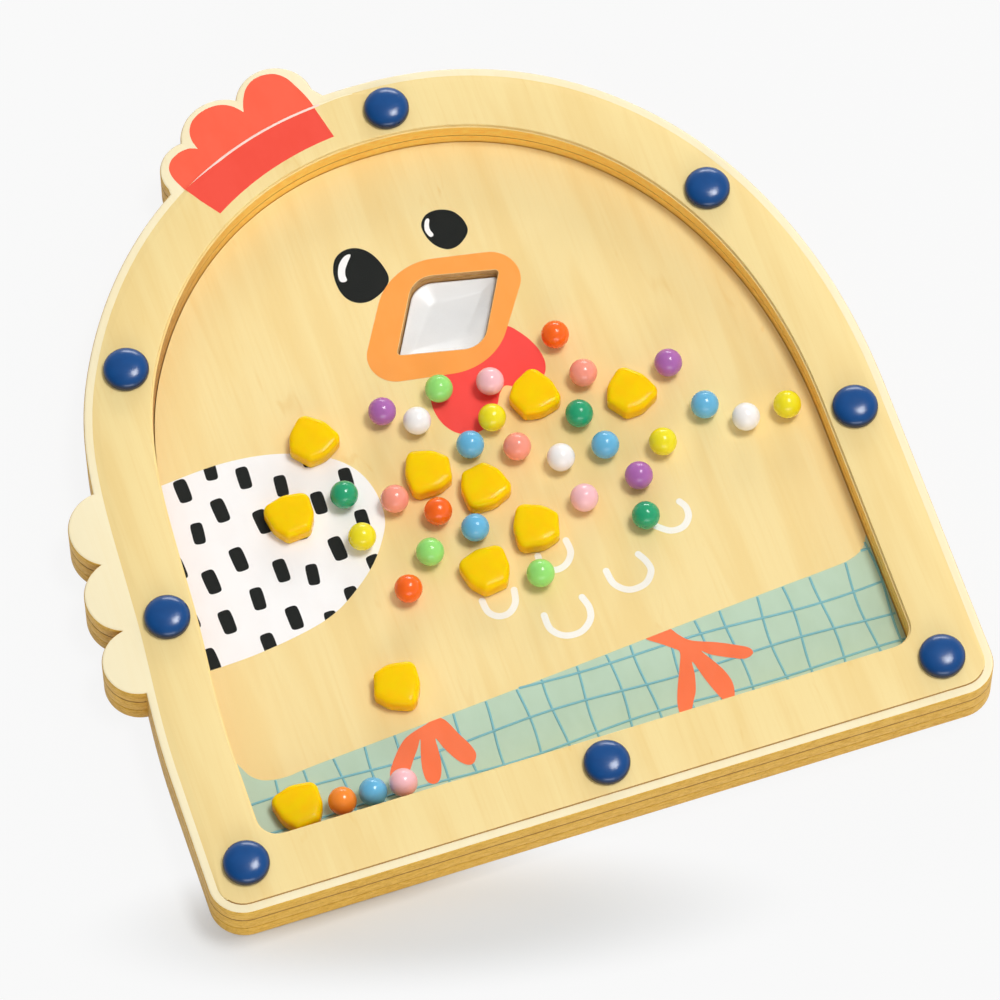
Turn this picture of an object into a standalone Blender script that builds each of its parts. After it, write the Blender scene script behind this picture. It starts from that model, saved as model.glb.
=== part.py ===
"""Chicken rattle: a flat wooden board game. Loose beads and corn kernels roll on a picture panel, under
a clear window, and eight blue rivets hold the wooden layers together. The board lies on its back, face
up (+Z), with the comb towards +Y. The origin is on the underside, at the middle of the whole board."""

import math

import bmesh
import bpy

# Outline of the wooden rim, in metres
RIM_WIDTH = 0.250
RIM_HEIGHT = 0.260
SPRING_HEIGHT = 0.106
ARCH_POWER = 2.15
RIM_CORNER = 0.011

# The side that carries the tail is flatter: it lies nearer to the middle, most of all at this height
TAIL_SIDE_DRAW = 0.0040
TAIL_SIDE_HEIGHT = 0.118
TAIL_SIDE_REACH = 0.068

# Front frame and the opening that shows the play tray
RIM_MARGIN = 0.0027
SIDE_BAND = 0.0181
LOWER_BAND = 0.0194
OPENING_CORNER = 0.0065

# Layers, from the back to the face
BACK_THICKNESS = 0.0054
PANEL_THICKNESS = 0.0020
WINDOW_THICKNESS = 0.0008
FRAME_THICKNESS = 0.0035
FACE_STEP = 0.0004
WINDOW_RECESS = 0.0001
REBATE_WIDTH = 0.0008

# Loose pieces
BEAD_DIAMETER = 0.0088
KERNEL_THICKNESS = 0.0060
KERNEL_BASE = 0.0095
KERNEL_CROWN = 0.0150
KERNEL_LENGTH = 0.0142
KERNEL_BEVEL = 0.0010
KERNEL_BASE_ROUND = 0.0017
KERNEL_CROWN_ROUND = 0.0030
KERNEL_SHOULDER = 0.0032

# Rivets
CAP_DIAMETER = 0.0148
CAP_HEIGHT = 0.0042
SHANK_DIAMETER = 0.0050
SHANK_BITE = 0.0035

# Mouth
MOUTH_REACH_X = 0.0182
MOUTH_REACH_Y = 0.0086
MOUTH_CORNER = 0.0010
MOUTH_BULGE_X = 0.0023
MOUTH_BULGE_Y = 0.0057
MOUTH_ROUNDING = 0.0082
CUP_HEIGHT = 0.0024
CUP_FLOOR = 0.0008
CUP_SLOPE = 0.0045
POCKET_FLOOR = 0.0010

# Clearances
SEAT_GAP = 0.0003
ROLL_GAP = 0.0002
SHANK_GAP = 0.0003

# Fineness
TURN_STEP = math.radians(3)
FINE_STEP = math.radians(1.25)
CORNER_SPAN = math.radians(5)
LEAST_STEP = math.radians(0.15)
DISC_STEPS = 9
DISC_SHARE = 0.999
CAP_SIDES = 16
CAP_STEPS = 4
MOUTH_SIDES = 48
SHANK_SIDES = 10
BEAD_SIDES = 10
BEAD_RINGS = 7
KERNEL_SIDES = 20
CUT_MARGIN = 0.002
LEAST_CORNER = 0.0005
SMOOTH_ANGLE = math.radians(35)
KERNEL_SMOOTH_ANGLE = math.radians(50)
HUB_SHARE = 0.44

# The comb and the tail are discs joined to the rim. Each is a place, from the middle of the rim's lower
# edge, and a radius
COMB_DISCS = ((-0.0240, 0.2620, 0.0125), (-0.0428, 0.2546, 0.0141), (-0.0558, 0.2470, 0.0104))
TAIL_DISCS = ((-0.1174, 0.1358, 0.0129), (-0.1196, 0.1129, 0.0126), (-0.1223, 0.0901, 0.0113))

# Directions of the rivets from the hub, in degrees from +X towards +Y
RIVET_TURNS = (86.4, 38.2, -6.1, -42.5, -89.0, -138.4, 187.1, 143.6)

# Places of the loose pieces, as shares of the tray's half width and of its height
BEADS = (
    ("orange_red", 0.330, 0.628),
    ("orange_red", -0.185, 0.413),
    ("orange_red", -0.347, 0.311),
    ("salmon", 0.369, 0.557),
    ("salmon", 0.104, 0.475),
    ("salmon", -0.294, 0.451),
    ("purple", 0.620, 0.534),
    ("purple", -0.240, 0.589),
    ("purple", 0.416, 0.377),
    ("light_green", -0.056, 0.598),
    ("light_green", -0.249, 0.356),
    ("light_green", 0.038, 0.275),
    ("light_pink", 0.096, 0.586),
    ("light_pink", 0.239, 0.368),
    ("white", -0.151, 0.559),
    ("white", 0.781, 0.417),
    ("white", 0.216, 0.439),
    ("yellow", 0.064, 0.530),
    ("yellow", 0.911, 0.417),
    ("yellow", 0.520, 0.417),
    ("yellow", -0.424, 0.409),
    ("dark_green", 0.314, 0.497),
    ("dark_green", -0.432, 0.480),
    ("dark_green", 0.393, 0.314),
    ("blue", 0.678, 0.454),
    ("blue", -0.026, 0.499),
    ("blue", 0.354, 0.438),
    ("blue", -0.098, 0.372),
)
ROW_BEADS = ("orange", "blue", "light_pink")
ROW_START = -0.741
ROW_GAP = 0.0009
ROW_EDGE_GAP = 0.0018

# Kernels: place as for the beads, and the way the crown points, in degrees
KERNELS = (
    (0.207, 0.548, 22),
    (0.481, 0.508, 36),
    (-0.466, 0.578, 40),
    (-0.172, 0.478, 171),
    (-0.030, 0.432, -79),
    (-0.602, 0.473, 94),
    (0.075, 0.348, 165),
    (-0.108, 0.306, 98),
    (-0.475, 0.175, -16),
)
CORNER_KERNEL_TURN = 96

# Colours, roughness and metallic value
FINISHES = {
    "front_wood": ((0.93, 0.71, 0.34), 0.45, 0.0),
    "rim_wood": ((0.99, 0.87, 0.58), 0.50, 0.0),
    "side_wood": ((0.70, 0.40, 0.10), 0.60, 0.0),
    "panel_wood": ((0.94, 0.70, 0.36), 0.45, 0.0),
    "clear": ((0.95, 0.97, 0.97), 0.05, 0.0),
    "dish_white": ((0.77, 0.78, 0.76), 0.30, 0.0),
    "cap_blue": ((0.010, 0.078, 0.262), 0.18, 0.0),
    "corn_yellow": ((1.00, 0.55, 0.003), 0.30, 0.0),
    "orange_red": ((0.95, 0.13, 0.004), 0.25, 0.0),
    "salmon": ((1.00, 0.34, 0.24), 0.25, 0.0),
    "purple": ((0.33, 0.07, 0.33), 0.25, 0.0),
    "light_green": ((0.32, 0.70, 0.17), 0.25, 0.0),
    "light_pink": ((0.95, 0.50, 0.52), 0.25, 0.0),
    "white": ((0.93, 0.88, 0.84), 0.25, 0.0),
    "yellow": ((0.83, 0.70, 0.01), 0.25, 0.0),
    "dark_green": ((0.01, 0.27, 0.10), 0.25, 0.0),
    "blue": ((0.09, 0.38, 0.60), 0.25, 0.0),
    "orange": ((1.00, 0.29, 0.02), 0.25, 0.0),
}

# Levels above the underside
PANEL_FLOOR = BACK_THICKNESS + SEAT_GAP
TRAY_FLOOR = PANEL_FLOOR + PANEL_THICKNESS
TALLEST_PIECE = max(BEAD_DIAMETER, KERNEL_THICKNESS)
WINDOW_FLOOR = TRAY_FLOOR + TALLEST_PIECE + 2 * ROLL_GAP
FACE = WINDOW_FLOOR + WINDOW_THICKNESS + WINDOW_RECESS
RIM_TOP = FACE - FACE_STEP
MIDDLE_FLOOR = BACK_THICKNESS + SEAT_GAP
RING_THICKNESS = (RIM_TOP - MIDDLE_FLOOR - SEAT_GAP) / 2
RIM_FLOOR = MIDDLE_FLOOR + RING_THICKNESS + SEAT_GAP
FRAME_FLOOR = FACE - FRAME_THICKNESS
REBATE_FLOOR = WINDOW_FLOOR - SEAT_GAP
CUP_BOTTOM = POCKET_FLOOR + SEAT_GAP

# The tray
OPENING_HALF = RIM_WIDTH / 2 - RIM_MARGIN - SIDE_BAND
OPENING_BOTTOM = RIM_MARGIN + LOWER_BAND
OPENING_TOP = RIM_HEIGHT - RIM_MARGIN - SIDE_BAND
TRAY_HEIGHT = OPENING_TOP - OPENING_BOTTOM
HUB = (0.0, HUB_SHARE * RIM_HEIGHT)
MOUTH_PLACE = (0.057, 0.721)


def arch(half, bottom, top, corner):
    """The board's outline shape: a flat foot with rounded corners, straight sides and a full arch."""
    return {"half": half, "bottom": bottom, "top": top, "corner": corner}


def drawn_in(y):
    """How much nearer to the middle the tail's side lies at height y."""
    share = min(abs(y - TAIL_SIDE_HEIGHT) / TAIL_SIDE_REACH, 1)
    return TAIL_SIDE_DRAW * math.cos(math.pi / 2 * share) ** 2


def inside_arch(shape, x, y):
    x = x if x > 0 else drawn_in(y) - x
    if y > SPRING_HEIGHT:
        rise = (y - SPRING_HEIGHT) / (shape["top"] - SPRING_HEIGHT)
        return (x / shape["half"]) ** ARCH_POWER + rise**ARCH_POWER < 1
    if x > shape["half"] or y < shape["bottom"]:
        return False
    over = x - (shape["half"] - shape["corner"])
    under = shape["bottom"] + shape["corner"] - y
    return over < 0 or under < 0 or math.hypot(over, under) < shape["corner"]


def arch_reach(shape, turn):
    """Distance from the hub to the edge of an arch shape, in the direction of turn."""
    low = 0.0
    high = 2 * RIM_HEIGHT
    for _ in range(40):
        middle = (low + high) / 2
        x = HUB[0] + middle * math.cos(turn)
        y = HUB[1] + middle * math.sin(turn)
        if inside_arch(shape, x, y):
            low = middle
        else:
            high = middle
    return low


def disc_reach(disc, turn):
    """Distance from the hub to the far side of a disc, or 0 where the direction misses it."""
    x = disc[0] - HUB[0]
    y = disc[1] - HUB[1]
    along = x * math.cos(turn) + y * math.sin(turn)
    inside = along**2 - x**2 - y**2 + disc[2] ** 2
    return along + math.sqrt(inside) if inside > 0 else 0.0


def reaches(shape, discs, turn):
    return [arch_reach(shape, turn)] + [disc_reach(disc, turn) for disc in discs]


def leader(shape, discs, turn):
    distances = reaches(shape, discs, turn)
    return distances.index(max(distances))


def meeting_turn(shape, discs, low, high):
    """The direction of the notch where the outline passes from one shape to another."""
    first = leader(shape, discs, low)
    for _ in range(30):
        middle = (low + high) / 2
        if leader(shape, discs, middle) == first:
            low = middle
        else:
            high = middle
    return low


def turns(discs=()):
    """Directions in which an outline has points, closer together round its corners and its discs."""
    corner = math.atan2(-HUB[1], RIM_WIDTH / 2)
    found = []
    turn = -3 * math.pi / 2
    while turn < math.pi / 2 - TURN_STEP / 2:
        found.append(turn)
        near = any(abs(turn - middle) < CORNER_SPAN for middle in (corner, -math.pi - corner))
        turn += FINE_STEP if near else TURN_STEP
    for disc in discs:
        x = disc[0] - HUB[0]
        y = disc[1] - HUB[1]
        outward = math.atan2(y, x)
        span = math.pi - math.acos(disc[2] / math.hypot(x, y))
        for step in range(-DISC_STEPS, DISC_STEPS + 1):
            swing = outward + DISC_SHARE * span * step / DISC_STEPS
            turn = math.atan2(y + disc[2] * math.sin(swing), x + disc[2] * math.cos(swing))
            found.append(turn - 2 * math.pi if turn > math.pi / 2 else turn)
    found.sort()
    kept = found[:1]
    for turn in found[1:]:
        if turn - kept[-1] > LEAST_STEP:
            kept.append(turn)
    return kept


def outline(shape, discs=()):
    """Points round a shape and the discs joined to it, seen from the hub."""
    found = turns(discs)
    corners = []
    for low, high in zip(found, found[1:]):
        if leader(shape, discs, low) != leader(shape, discs, high):
            corners.append(meeting_turn(shape, discs, low, high))
    points = []
    for turn in sorted(found + corners):
        reach = max(reaches(shape, discs, turn))
        points.append((HUB[0] + reach * math.cos(turn), HUB[1] + reach * math.sin(turn)))
    return points


def matching_outline(shape, points):
    """A plain arch outline with a point in the direction of each given point."""
    matched = []
    for x, y in points:
        turn = math.atan2(y - HUB[1], x - HUB[0])
        reach = arch_reach(shape, turn)
        matched.append((HUB[0] + reach * math.cos(turn), HUB[1] + reach * math.sin(turn)))
    return matched


def hull_outline(circles, sides):
    """The outline of a band drawn tight round circles, each given as x, y and radius."""
    points = []
    for step in range(sides):
        turn = 2 * math.pi * step / sides
        across = math.cos(turn)
        up = math.sin(turn)
        x, y, radius = max(circles, key=lambda c: c[0] * across + c[1] * up + c[2])
        points.append((x + radius * across, y + radius * up))
    return points


def finish(name):
    found = bpy.data.materials.get(name)
    if found:
        return found
    color, roughness, metallic = FINISHES[name]
    material = bpy.data.materials.new(name)
    material.use_nodes = True
    shader = material.node_tree.nodes["Principled BSDF"]
    shader.inputs["Base Color"].default_value = (*color, 1)
    shader.inputs["Roughness"].default_value = roughness
    shader.inputs["Metallic"].default_value = metallic
    material.diffuse_color = (*color, 1)
    return material


def add_object(name, mesh, material, parent=None):
    piece = bpy.data.objects.new(name, mesh)
    bpy.context.scene.collection.objects.link(piece)
    piece.data.materials.append(finish(material))
    piece.parent = parent
    return piece


def mesh_from(name, bm):
    bmesh.ops.recalc_face_normals(bm, faces=bm.faces)
    mesh = bpy.data.meshes.new(name)
    bm.to_mesh(mesh)
    bm.free()
    return mesh


def stacked_mesh(name, loops, closed_ring=False):
    """A solid skinned over loops, each a list of points and a level. A ring has no end caps."""
    bm = bmesh.new()
    rows = [[bm.verts.new((x, y, level)) for x, y in points] for points, level in loops]
    pairs = list(zip(rows, rows[1:]))
    if closed_ring:
        pairs.append((rows[-1], rows[0]))
    for lower, upper in pairs:
        for i in range(len(lower)):
            j = (i + 1) % len(lower)
            bm.faces.new((lower[i], lower[j], upper[j], upper[i]))
    if not closed_ring:
        bm.faces.new(rows[0])
        bm.faces.new(rows[-1])
    return mesh_from(name, bm)


def circle_points(x, y, radius, sides):
    found = []
    for step in range(sides):
        turn = 2 * math.pi * step / sides
        found.append((x + radius * math.cos(turn), y + radius * math.sin(turn)))
    return found


def turned_mesh(name, profile, sides):
    """A solid of revolution about Z. The profile is radius and level, with both ends on the axis."""
    bm = bmesh.new()
    rows = []
    for radius, level in profile:
        if radius == 0:
            rows.append([bm.verts.new((0, 0, level))])
            continue
        rows.append([bm.verts.new((x, y, level)) for x, y in circle_points(0, 0, radius, sides)])
    for lower, upper in zip(rows, rows[1:]):
        for i in range(sides):
            j = (i + 1) % sides
            below = (lower[i % len(lower)], lower[j % len(lower)])
            above = (upper[j % len(upper)], upper[i % len(upper)])
            bm.faces.new(list(dict.fromkeys(below + above)))
    return mesh_from(name, bm)


def cutter(name, mesh, parent):
    piece = bpy.data.objects.new(name, mesh)
    bpy.context.scene.collection.objects.link(piece)
    piece.hide_render = True
    piece.display_type = "WIRE"
    piece.parent = parent
    return piece


def cut(piece, tool):
    modifier = piece.modifiers.new("cut_" + tool.name, "BOOLEAN")
    modifier.operation = "DIFFERENCE"
    modifier.solver = "EXACT"
    modifier.object = tool


def rivet_places():
    """Points on the middle of the frame's band, where the rivets go through."""
    places = []
    for degrees in RIVET_TURNS:
        turn = math.radians(degrees)
        reach = (arch_reach(FRAME, turn) + arch_reach(OPENING, turn)) / 2
        places.append((HUB[0] + reach * math.cos(turn), HUB[1] + reach * math.sin(turn)))
    return places


def tray_point(across, up):
    return (across * OPENING_HALF, OPENING_BOTTOM + up * TRAY_HEIGHT)


def mouth_circles(grow=0.0):
    """The mouth's leaf shape: two sharp corners and two round ones, facing each other."""
    x, y = tray_point(*MOUTH_PLACE)
    circles = []
    for side in (1, -1):
        circles.append((x + side * MOUTH_REACH_X, y + side * MOUTH_REACH_Y, MOUTH_CORNER + grow))
        circles.append((x - side * MOUTH_BULGE_X, y + side * MOUTH_BULGE_Y, MOUTH_ROUNDING + grow))
    return circles


def shrunk(points, inset):
    """Points drawn in towards their middle, by about inset."""
    x = sum(point[0] for point in points) / len(points)
    y = sum(point[1] for point in points) / len(points)
    drawn = []
    for px, py in points:
        reach = math.hypot(px - x, py - y)
        share = max(reach - inset, 0) / reach
        drawn.append((x + (px - x) * share, y + (py - y) * share))
    return drawn


RIM = arch(RIM_WIDTH / 2, 0, RIM_HEIGHT, RIM_CORNER)
FRAME = arch(RIM_WIDTH / 2 - RIM_MARGIN, RIM_MARGIN, RIM_HEIGHT - RIM_MARGIN, RIM_CORNER - RIM_MARGIN)
OPENING = arch(OPENING_HALF, OPENING_BOTTOM, OPENING_TOP, OPENING_CORNER)


def inset_arch(shape, inset):
    """The same outline drawn in by inset all round."""
    corner = max(shape["corner"] - inset, LEAST_CORNER)
    return arch(shape["half"] - inset, shape["bottom"] + inset, shape["top"] - inset, corner)


def layers(root):
    """The wooden layers, from the back to the face, and the picture panel between them."""
    rim = outline(RIM, COMB_DISCS + TAIL_DISCS)
    board = stacked_mesh("back_board", [(rim, 0), (rim, BACK_THICKNESS)])
    back = add_object("back_board", board, "side_wood", root)

    opening = matching_outline(OPENING, rim)
    middle = [
        (rim, MIDDLE_FLOOR),
        (rim, MIDDLE_FLOOR + RING_THICKNESS),
        (opening, MIDDLE_FLOOR + RING_THICKNESS),
        (opening, MIDDLE_FLOOR),
    ]
    ring_mesh = stacked_mesh("middle_ring", middle, closed_ring=True)
    ring = add_object("middle_ring", ring_mesh, "side_wood", root)

    pocket = matching_outline(FRAME, rim)
    top = [
        (rim, RIM_FLOOR),
        (rim, RIM_TOP),
        (pocket, RIM_TOP),
        (pocket, FRAME_FLOOR - SEAT_GAP),
        (opening, FRAME_FLOOR - SEAT_GAP),
        (opening, RIM_FLOOR),
    ]
    rim_mesh = stacked_mesh("rim_ring", top, closed_ring=True)
    rim_ring = add_object("rim_ring", rim_mesh, "rim_wood", root)

    frame_edge = outline(inset_arch(FRAME, SEAT_GAP))
    frame_opening = matching_outline(OPENING, frame_edge)
    rebate = matching_outline(inset_arch(OPENING, -REBATE_WIDTH), frame_edge)
    front = [
        (frame_edge, FRAME_FLOOR),
        (frame_edge, FACE),
        (rebate, FACE),
        (rebate, REBATE_FLOOR),
        (frame_opening, REBATE_FLOOR),
        (frame_opening, FRAME_FLOOR),
    ]
    front_mesh = stacked_mesh("front_frame", front, closed_ring=True)
    frame = add_object("front_frame", front_mesh, "front_wood", root)

    pane = outline(inset_arch(OPENING, SEAT_GAP - REBATE_WIDTH))
    window = [(pane, WINDOW_FLOOR), (pane, WINDOW_FLOOR + WINDOW_THICKNESS)]
    add_object("clear_window", stacked_mesh("clear_window", window), "clear", root)

    sheet = outline(inset_arch(OPENING, SEAT_GAP))
    panel = [(sheet, PANEL_FLOOR), (sheet, TRAY_FLOOR)]
    picture = add_object("picture_panel", stacked_mesh("picture_panel", panel), "panel_wood", root)
    return {"back": back, "middle": ring, "rim": rim_ring, "frame": frame, "picture": picture}


def mouth(root, wood):
    """The mouth: a hole through the picture panel, and a white dish in a pocket of the back board."""
    hole = hull_outline(mouth_circles(), MOUTH_SIDES)
    loops = [(hole, POCKET_FLOOR), (hole, FACE)]
    tool = cutter("mouth_cutter", stacked_mesh("mouth_cutter", loops), root)
    cut(wood["picture"], tool)
    cut(wood["back"], tool)
    rim = hull_outline(mouth_circles(-SEAT_GAP), MOUTH_SIDES)
    floor = shrunk(rim, CUP_SLOPE)
    loops = [
        (rim, CUP_BOTTOM),
        (rim, CUP_BOTTOM + CUP_HEIGHT),
        (shrunk(rim, CUP_FLOOR), CUP_BOTTOM + CUP_HEIGHT),
        (floor, CUP_BOTTOM + CUP_FLOOR),
    ]
    cup = add_object("mouth_cup", stacked_mesh("mouth_cup", loops), "dish_white", root)
    cup.data.shade_smooth()
    cup.data.set_sharp_from_angle(angle=SMOOTH_ANGLE)


def rivets(root, wood):
    """Eight domed blue caps, each with a shank pressed through the layers into the back board."""
    seat = FACE + SEAT_GAP
    tip = BACK_THICKNESS - SHANK_BITE
    dome = []
    for step in range(CAP_STEPS):
        turn = math.pi / 2 * step / CAP_STEPS
        dome.append((CAP_DIAMETER / 2 * math.cos(turn), CAP_HEIGHT * math.sin(turn)))
    radius = SHANK_DIAMETER / 2
    profile = [(0, tip - seat), (radius, tip - seat), (radius, 0), *dome, (0, CAP_HEIGHT)]
    mesh = turned_mesh("cap_rivet", profile, CAP_SIDES)
    mesh.shade_smooth()
    mesh.set_sharp_from_angle(angle=SMOOTH_ANGLE)
    mesh.materials.append(finish("cap_blue"))

    bore = radius + SHANK_GAP
    depth = tip - SEAT_GAP
    drill = bmesh.new()
    for number, (x, y) in enumerate(rivet_places(), 1):
        piece = bpy.data.objects.new(f"cap_rivet_{number}", mesh)
        bpy.context.scene.collection.objects.link(piece)
        piece.parent = root
        piece.location = (x, y, seat)
        ring = []
        around = circle_points(x, y, bore, SHANK_SIDES)
        for level in (depth, FACE + CUT_MARGIN):
            ring.append([drill.verts.new((px, py, level)) for px, py in around])
        for i in range(SHANK_SIDES):
            j = (i + 1) % SHANK_SIDES
            drill.faces.new((ring[0][i], ring[0][j], ring[1][j], ring[1][i]))
        drill.faces.new(ring[0])
        drill.faces.new(ring[1])
    tool = cutter("rivet_cutter", mesh_from("rivet_cutter", drill), root)
    for name in ("back", "middle", "rim", "frame"):
        cut(wood[name], tool)


def bead_mesh(color):
    radius = BEAD_DIAMETER / 2
    profile = []
    for step in range(BEAD_RINGS + 1):
        turn = math.pi * step / BEAD_RINGS
        width = 0 if step in (0, BEAD_RINGS) else radius * math.sin(turn)
        profile.append((width, -radius * math.cos(turn)))
    mesh = turned_mesh("bead_" + color, profile, BEAD_SIDES)
    mesh.shade_smooth()
    mesh.materials.append(finish(color))
    return mesh


def beads(root):
    """The scattered beads, and the row of three that has rolled to the tray's lower edge."""
    level = TRAY_FLOOR + ROLL_GAP + BEAD_DIAMETER / 2
    places = [(color, *tray_point(across, up)) for color, across, up in BEADS]
    for step, color in enumerate(ROW_BEADS):
        x = ROW_START * OPENING_HALF + step * (BEAD_DIAMETER + ROW_GAP)
        y = OPENING_BOTTOM + BEAD_DIAMETER / 2 + ROW_EDGE_GAP
        places.append((color, x, y))
    meshes = {}
    counts = {}
    for color, x, y in places:
        if color not in meshes:
            meshes[color] = bead_mesh(color)
        counts[color] = counts.get(color, 0) + 1
        piece = bpy.data.objects.new(f"bead_{color}_{counts[color]}", meshes[color])
        bpy.context.scene.collection.objects.link(piece)
        piece.parent = root
        piece.location = (x, y, level)


def kernel_mesh():
    """A grain of corn with its crown towards +X: narrow base, wide rounded crown, bevelled all round."""
    base = KERNEL_BASE / 2
    crown = KERNEL_CROWN / 2
    half = KERNEL_LENGTH / 2
    base_x = KERNEL_BASE_ROUND - half
    base_y = base - KERNEL_BASE_ROUND
    crown_y = crown - KERNEL_CROWN_ROUND
    circles = [
        (base_x, base_y, KERNEL_BASE_ROUND),
        (base_x, -base_y, KERNEL_BASE_ROUND),
        (KERNEL_SHOULDER, crown_y, KERNEL_CROWN_ROUND),
        (KERNEL_SHOULDER, -crown_y, KERNEL_CROWN_ROUND),
        (0, 0, half),
    ]
    wide = hull_outline(circles, KERNEL_SIDES)
    narrow = hull_outline([(x, y, radius - KERNEL_BEVEL) for x, y, radius in circles], KERNEL_SIDES)
    loops = [
        (narrow, 0),
        (wide, KERNEL_BEVEL),
        (wide, KERNEL_THICKNESS - KERNEL_BEVEL),
        (narrow, KERNEL_THICKNESS),
    ]
    mesh = stacked_mesh("corn_kernel", loops)
    mesh.shade_smooth()
    mesh.set_sharp_from_angle(angle=KERNEL_SMOOTH_ANGLE)
    mesh.materials.append(finish("corn_yellow"))
    return mesh


def kernels(root):
    """The scattered kernels, and the one beside the row of beads in the lower left corner."""
    mesh = kernel_mesh()
    places = [(*tray_point(across, up), turn) for across, up, turn in KERNELS]
    row_x = ROW_START * OPENING_HALF - BEAD_DIAMETER / 2 - ROW_GAP - KERNEL_CROWN / 2
    row_y = OPENING_BOTTOM + KERNEL_LENGTH / 2 + ROW_EDGE_GAP
    places.append((row_x, row_y, CORNER_KERNEL_TURN))
    for number, (x, y, turn) in enumerate(places, 1):
        piece = bpy.data.objects.new(f"corn_kernel_{number}", mesh)
        bpy.context.scene.collection.objects.link(piece)
        piece.parent = root
        piece.location = (x, y, TRAY_FLOOR + ROLL_GAP)
        piece.rotation_euler = (0, 0, math.radians(turn))


def board_middle():
    """Middle of the whole board's box, comb and tail included."""
    points = outline(RIM, COMB_DISCS + TAIL_DISCS)
    xs = [point[0] for point in points]
    ys = [point[1] for point in points]
    return (min(xs) + max(xs)) / 2, (min(ys) + max(ys)) / 2


def main():
    for old in list(bpy.data.objects):
        bpy.data.objects.remove(old, do_unlink=True)
    root = bpy.data.objects.new("board", None)
    bpy.context.scene.collection.objects.link(root)
    x, y = board_middle()
    root.location = (-x, -y, 0)
    wood = layers(root)
    mouth(root, wood)
    rivets(root, wood)
    beads(root)
    kernels(root)


main()
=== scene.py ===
"""Chicken rattle: the finished look of a flat wooden board with loose beads and corn kernels under a window.

Lengths are in metres. The outlines are worked out from the middle of the board's foot, and then moved to
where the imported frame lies."""

import math
import random

import bmesh
import bpy
from mathutils import Matrix, Vector


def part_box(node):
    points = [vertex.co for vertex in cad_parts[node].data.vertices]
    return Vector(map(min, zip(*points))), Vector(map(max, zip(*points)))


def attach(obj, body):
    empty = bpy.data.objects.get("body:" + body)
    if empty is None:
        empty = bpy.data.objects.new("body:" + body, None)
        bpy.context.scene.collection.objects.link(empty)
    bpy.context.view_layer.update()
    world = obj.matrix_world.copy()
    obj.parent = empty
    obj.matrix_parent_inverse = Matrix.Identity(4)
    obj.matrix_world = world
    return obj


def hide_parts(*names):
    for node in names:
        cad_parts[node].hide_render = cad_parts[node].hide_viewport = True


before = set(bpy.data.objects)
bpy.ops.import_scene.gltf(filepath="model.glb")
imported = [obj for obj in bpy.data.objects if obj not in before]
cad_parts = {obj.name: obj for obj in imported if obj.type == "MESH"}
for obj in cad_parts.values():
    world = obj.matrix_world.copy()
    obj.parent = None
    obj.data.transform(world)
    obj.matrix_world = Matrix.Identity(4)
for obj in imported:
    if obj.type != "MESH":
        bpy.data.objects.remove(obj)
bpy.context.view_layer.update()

# Outline of the board
RIM_WIDTH = 0.250
RIM_HEIGHT = 0.260
SPRING_HEIGHT = 0.106
ARCH_POWER = 2.15
RIM_CORNER = 0.011
RIM_MARGIN = 0.0027
# The side that carries the tail is flatter: it lies nearer to the middle, most of all at this height
TAIL_SIDE_DRAW = 0.0040
TAIL_SIDE_HEIGHT = 0.118
TAIL_SIDE_REACH = 0.068
SIDE_BAND = 0.0181
LOWER_BAND = 0.0194
OPENING_CORNER = 0.0065
REBATE_WIDTH = 0.0008
COMB_DISCS = ((-0.0240, 0.2620, 0.0125), (-0.0428, 0.2546, 0.0141), (-0.0558, 0.2470, 0.0104))
LOBE_EASE = 1.4
TAIL_DISCS = ((-0.1174, 0.1358, 0.0129), (-0.1196, 0.1129, 0.0126), (-0.1223, 0.0901, 0.0113))
RIVET_TURNS = (86.4, 38.2, -6.1, -42.5, -89.0, -138.4, 187.1, 143.6)

# Levels of the layers above the underside
BACK_TOP = 0.0054
MIDDLE_FLOOR = 0.0057
MIDDLE_TOP = 0.0114
RIM_FLOOR = 0.0117
RIM_TOP = 0.0174
POCKET_LEVEL = 0.0140
FRAME_FLOOR = 0.01404
REBATE_FLOOR = 0.0166
FACE = 0.0178
PANEL_FLOOR = 0.0057
TRAY_FLOOR = 0.0077
DISH_POCKET = 0.0010
DISH_FLOOR = 0.0013
DISH_HOLLOW = 0.0021
DISH_TOP = 0.0037
SEAT_GAP = 0.0003
FRAME_SEAT = 0.00002

# Rounded edges
RIM_ROUND = 0.0008
FOOT_ROUND = 0.0006
JOINT_ROUND = 0.0002
FRAME_ROUND = 0.0005
FRAME_SLOPE = 0.0024
LIP_ROUND = 0.0003
HOLE_ROUND = 0.0003
ROUND_STEPS = 4
SHARP_TURN = math.radians(30)
ROUND_SHARP_TURN = math.radians(60)
CAP_SHARP_TURN = math.radians(40)

# Steps of the outlines
CORNER_REACH = 0.10
FINE_TURN = math.radians(0.5)
COARSE_TURN = math.radians(1.5)
LEAST_TURN = math.radians(0.06)
DISC_STEPS = 22
FAR = 0.4
REACH_HALVINGS = 34
NOTCH_HALVINGS = 24
PARALLEL = 1e-12
SLACK = 1e-9
WELD = 1e-7
LEAST_CORNER = 0.0005
MITRE_LIMIT = 0.6
MOUTH_SIDES = 240
KERNEL_SIDES = 96
BORE_SIDES = 24
CAP_SIDES = 64
BEAD_SIDES = 48
BEAD_RINGS = 28
MOUTH_LEAST_TURN = 0.0005
CUT_TOP = 0.03
QUARTER = [math.pi / 2 * step / ROUND_STEPS for step in range(ROUND_STEPS + 1)]

# Rivets
CAP_RADIUS = 0.00715
CAP_HEIGHT = 0.0042
CAP_SKIRT = 0.0011
CAP_FULLNESS = 0.82
SHANK_RADIUS = 0.0025
BORE_RADIUS = 0.0028
SHANK_TIP = 0.0019
BORE_FLOOR = 0.0016

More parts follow.
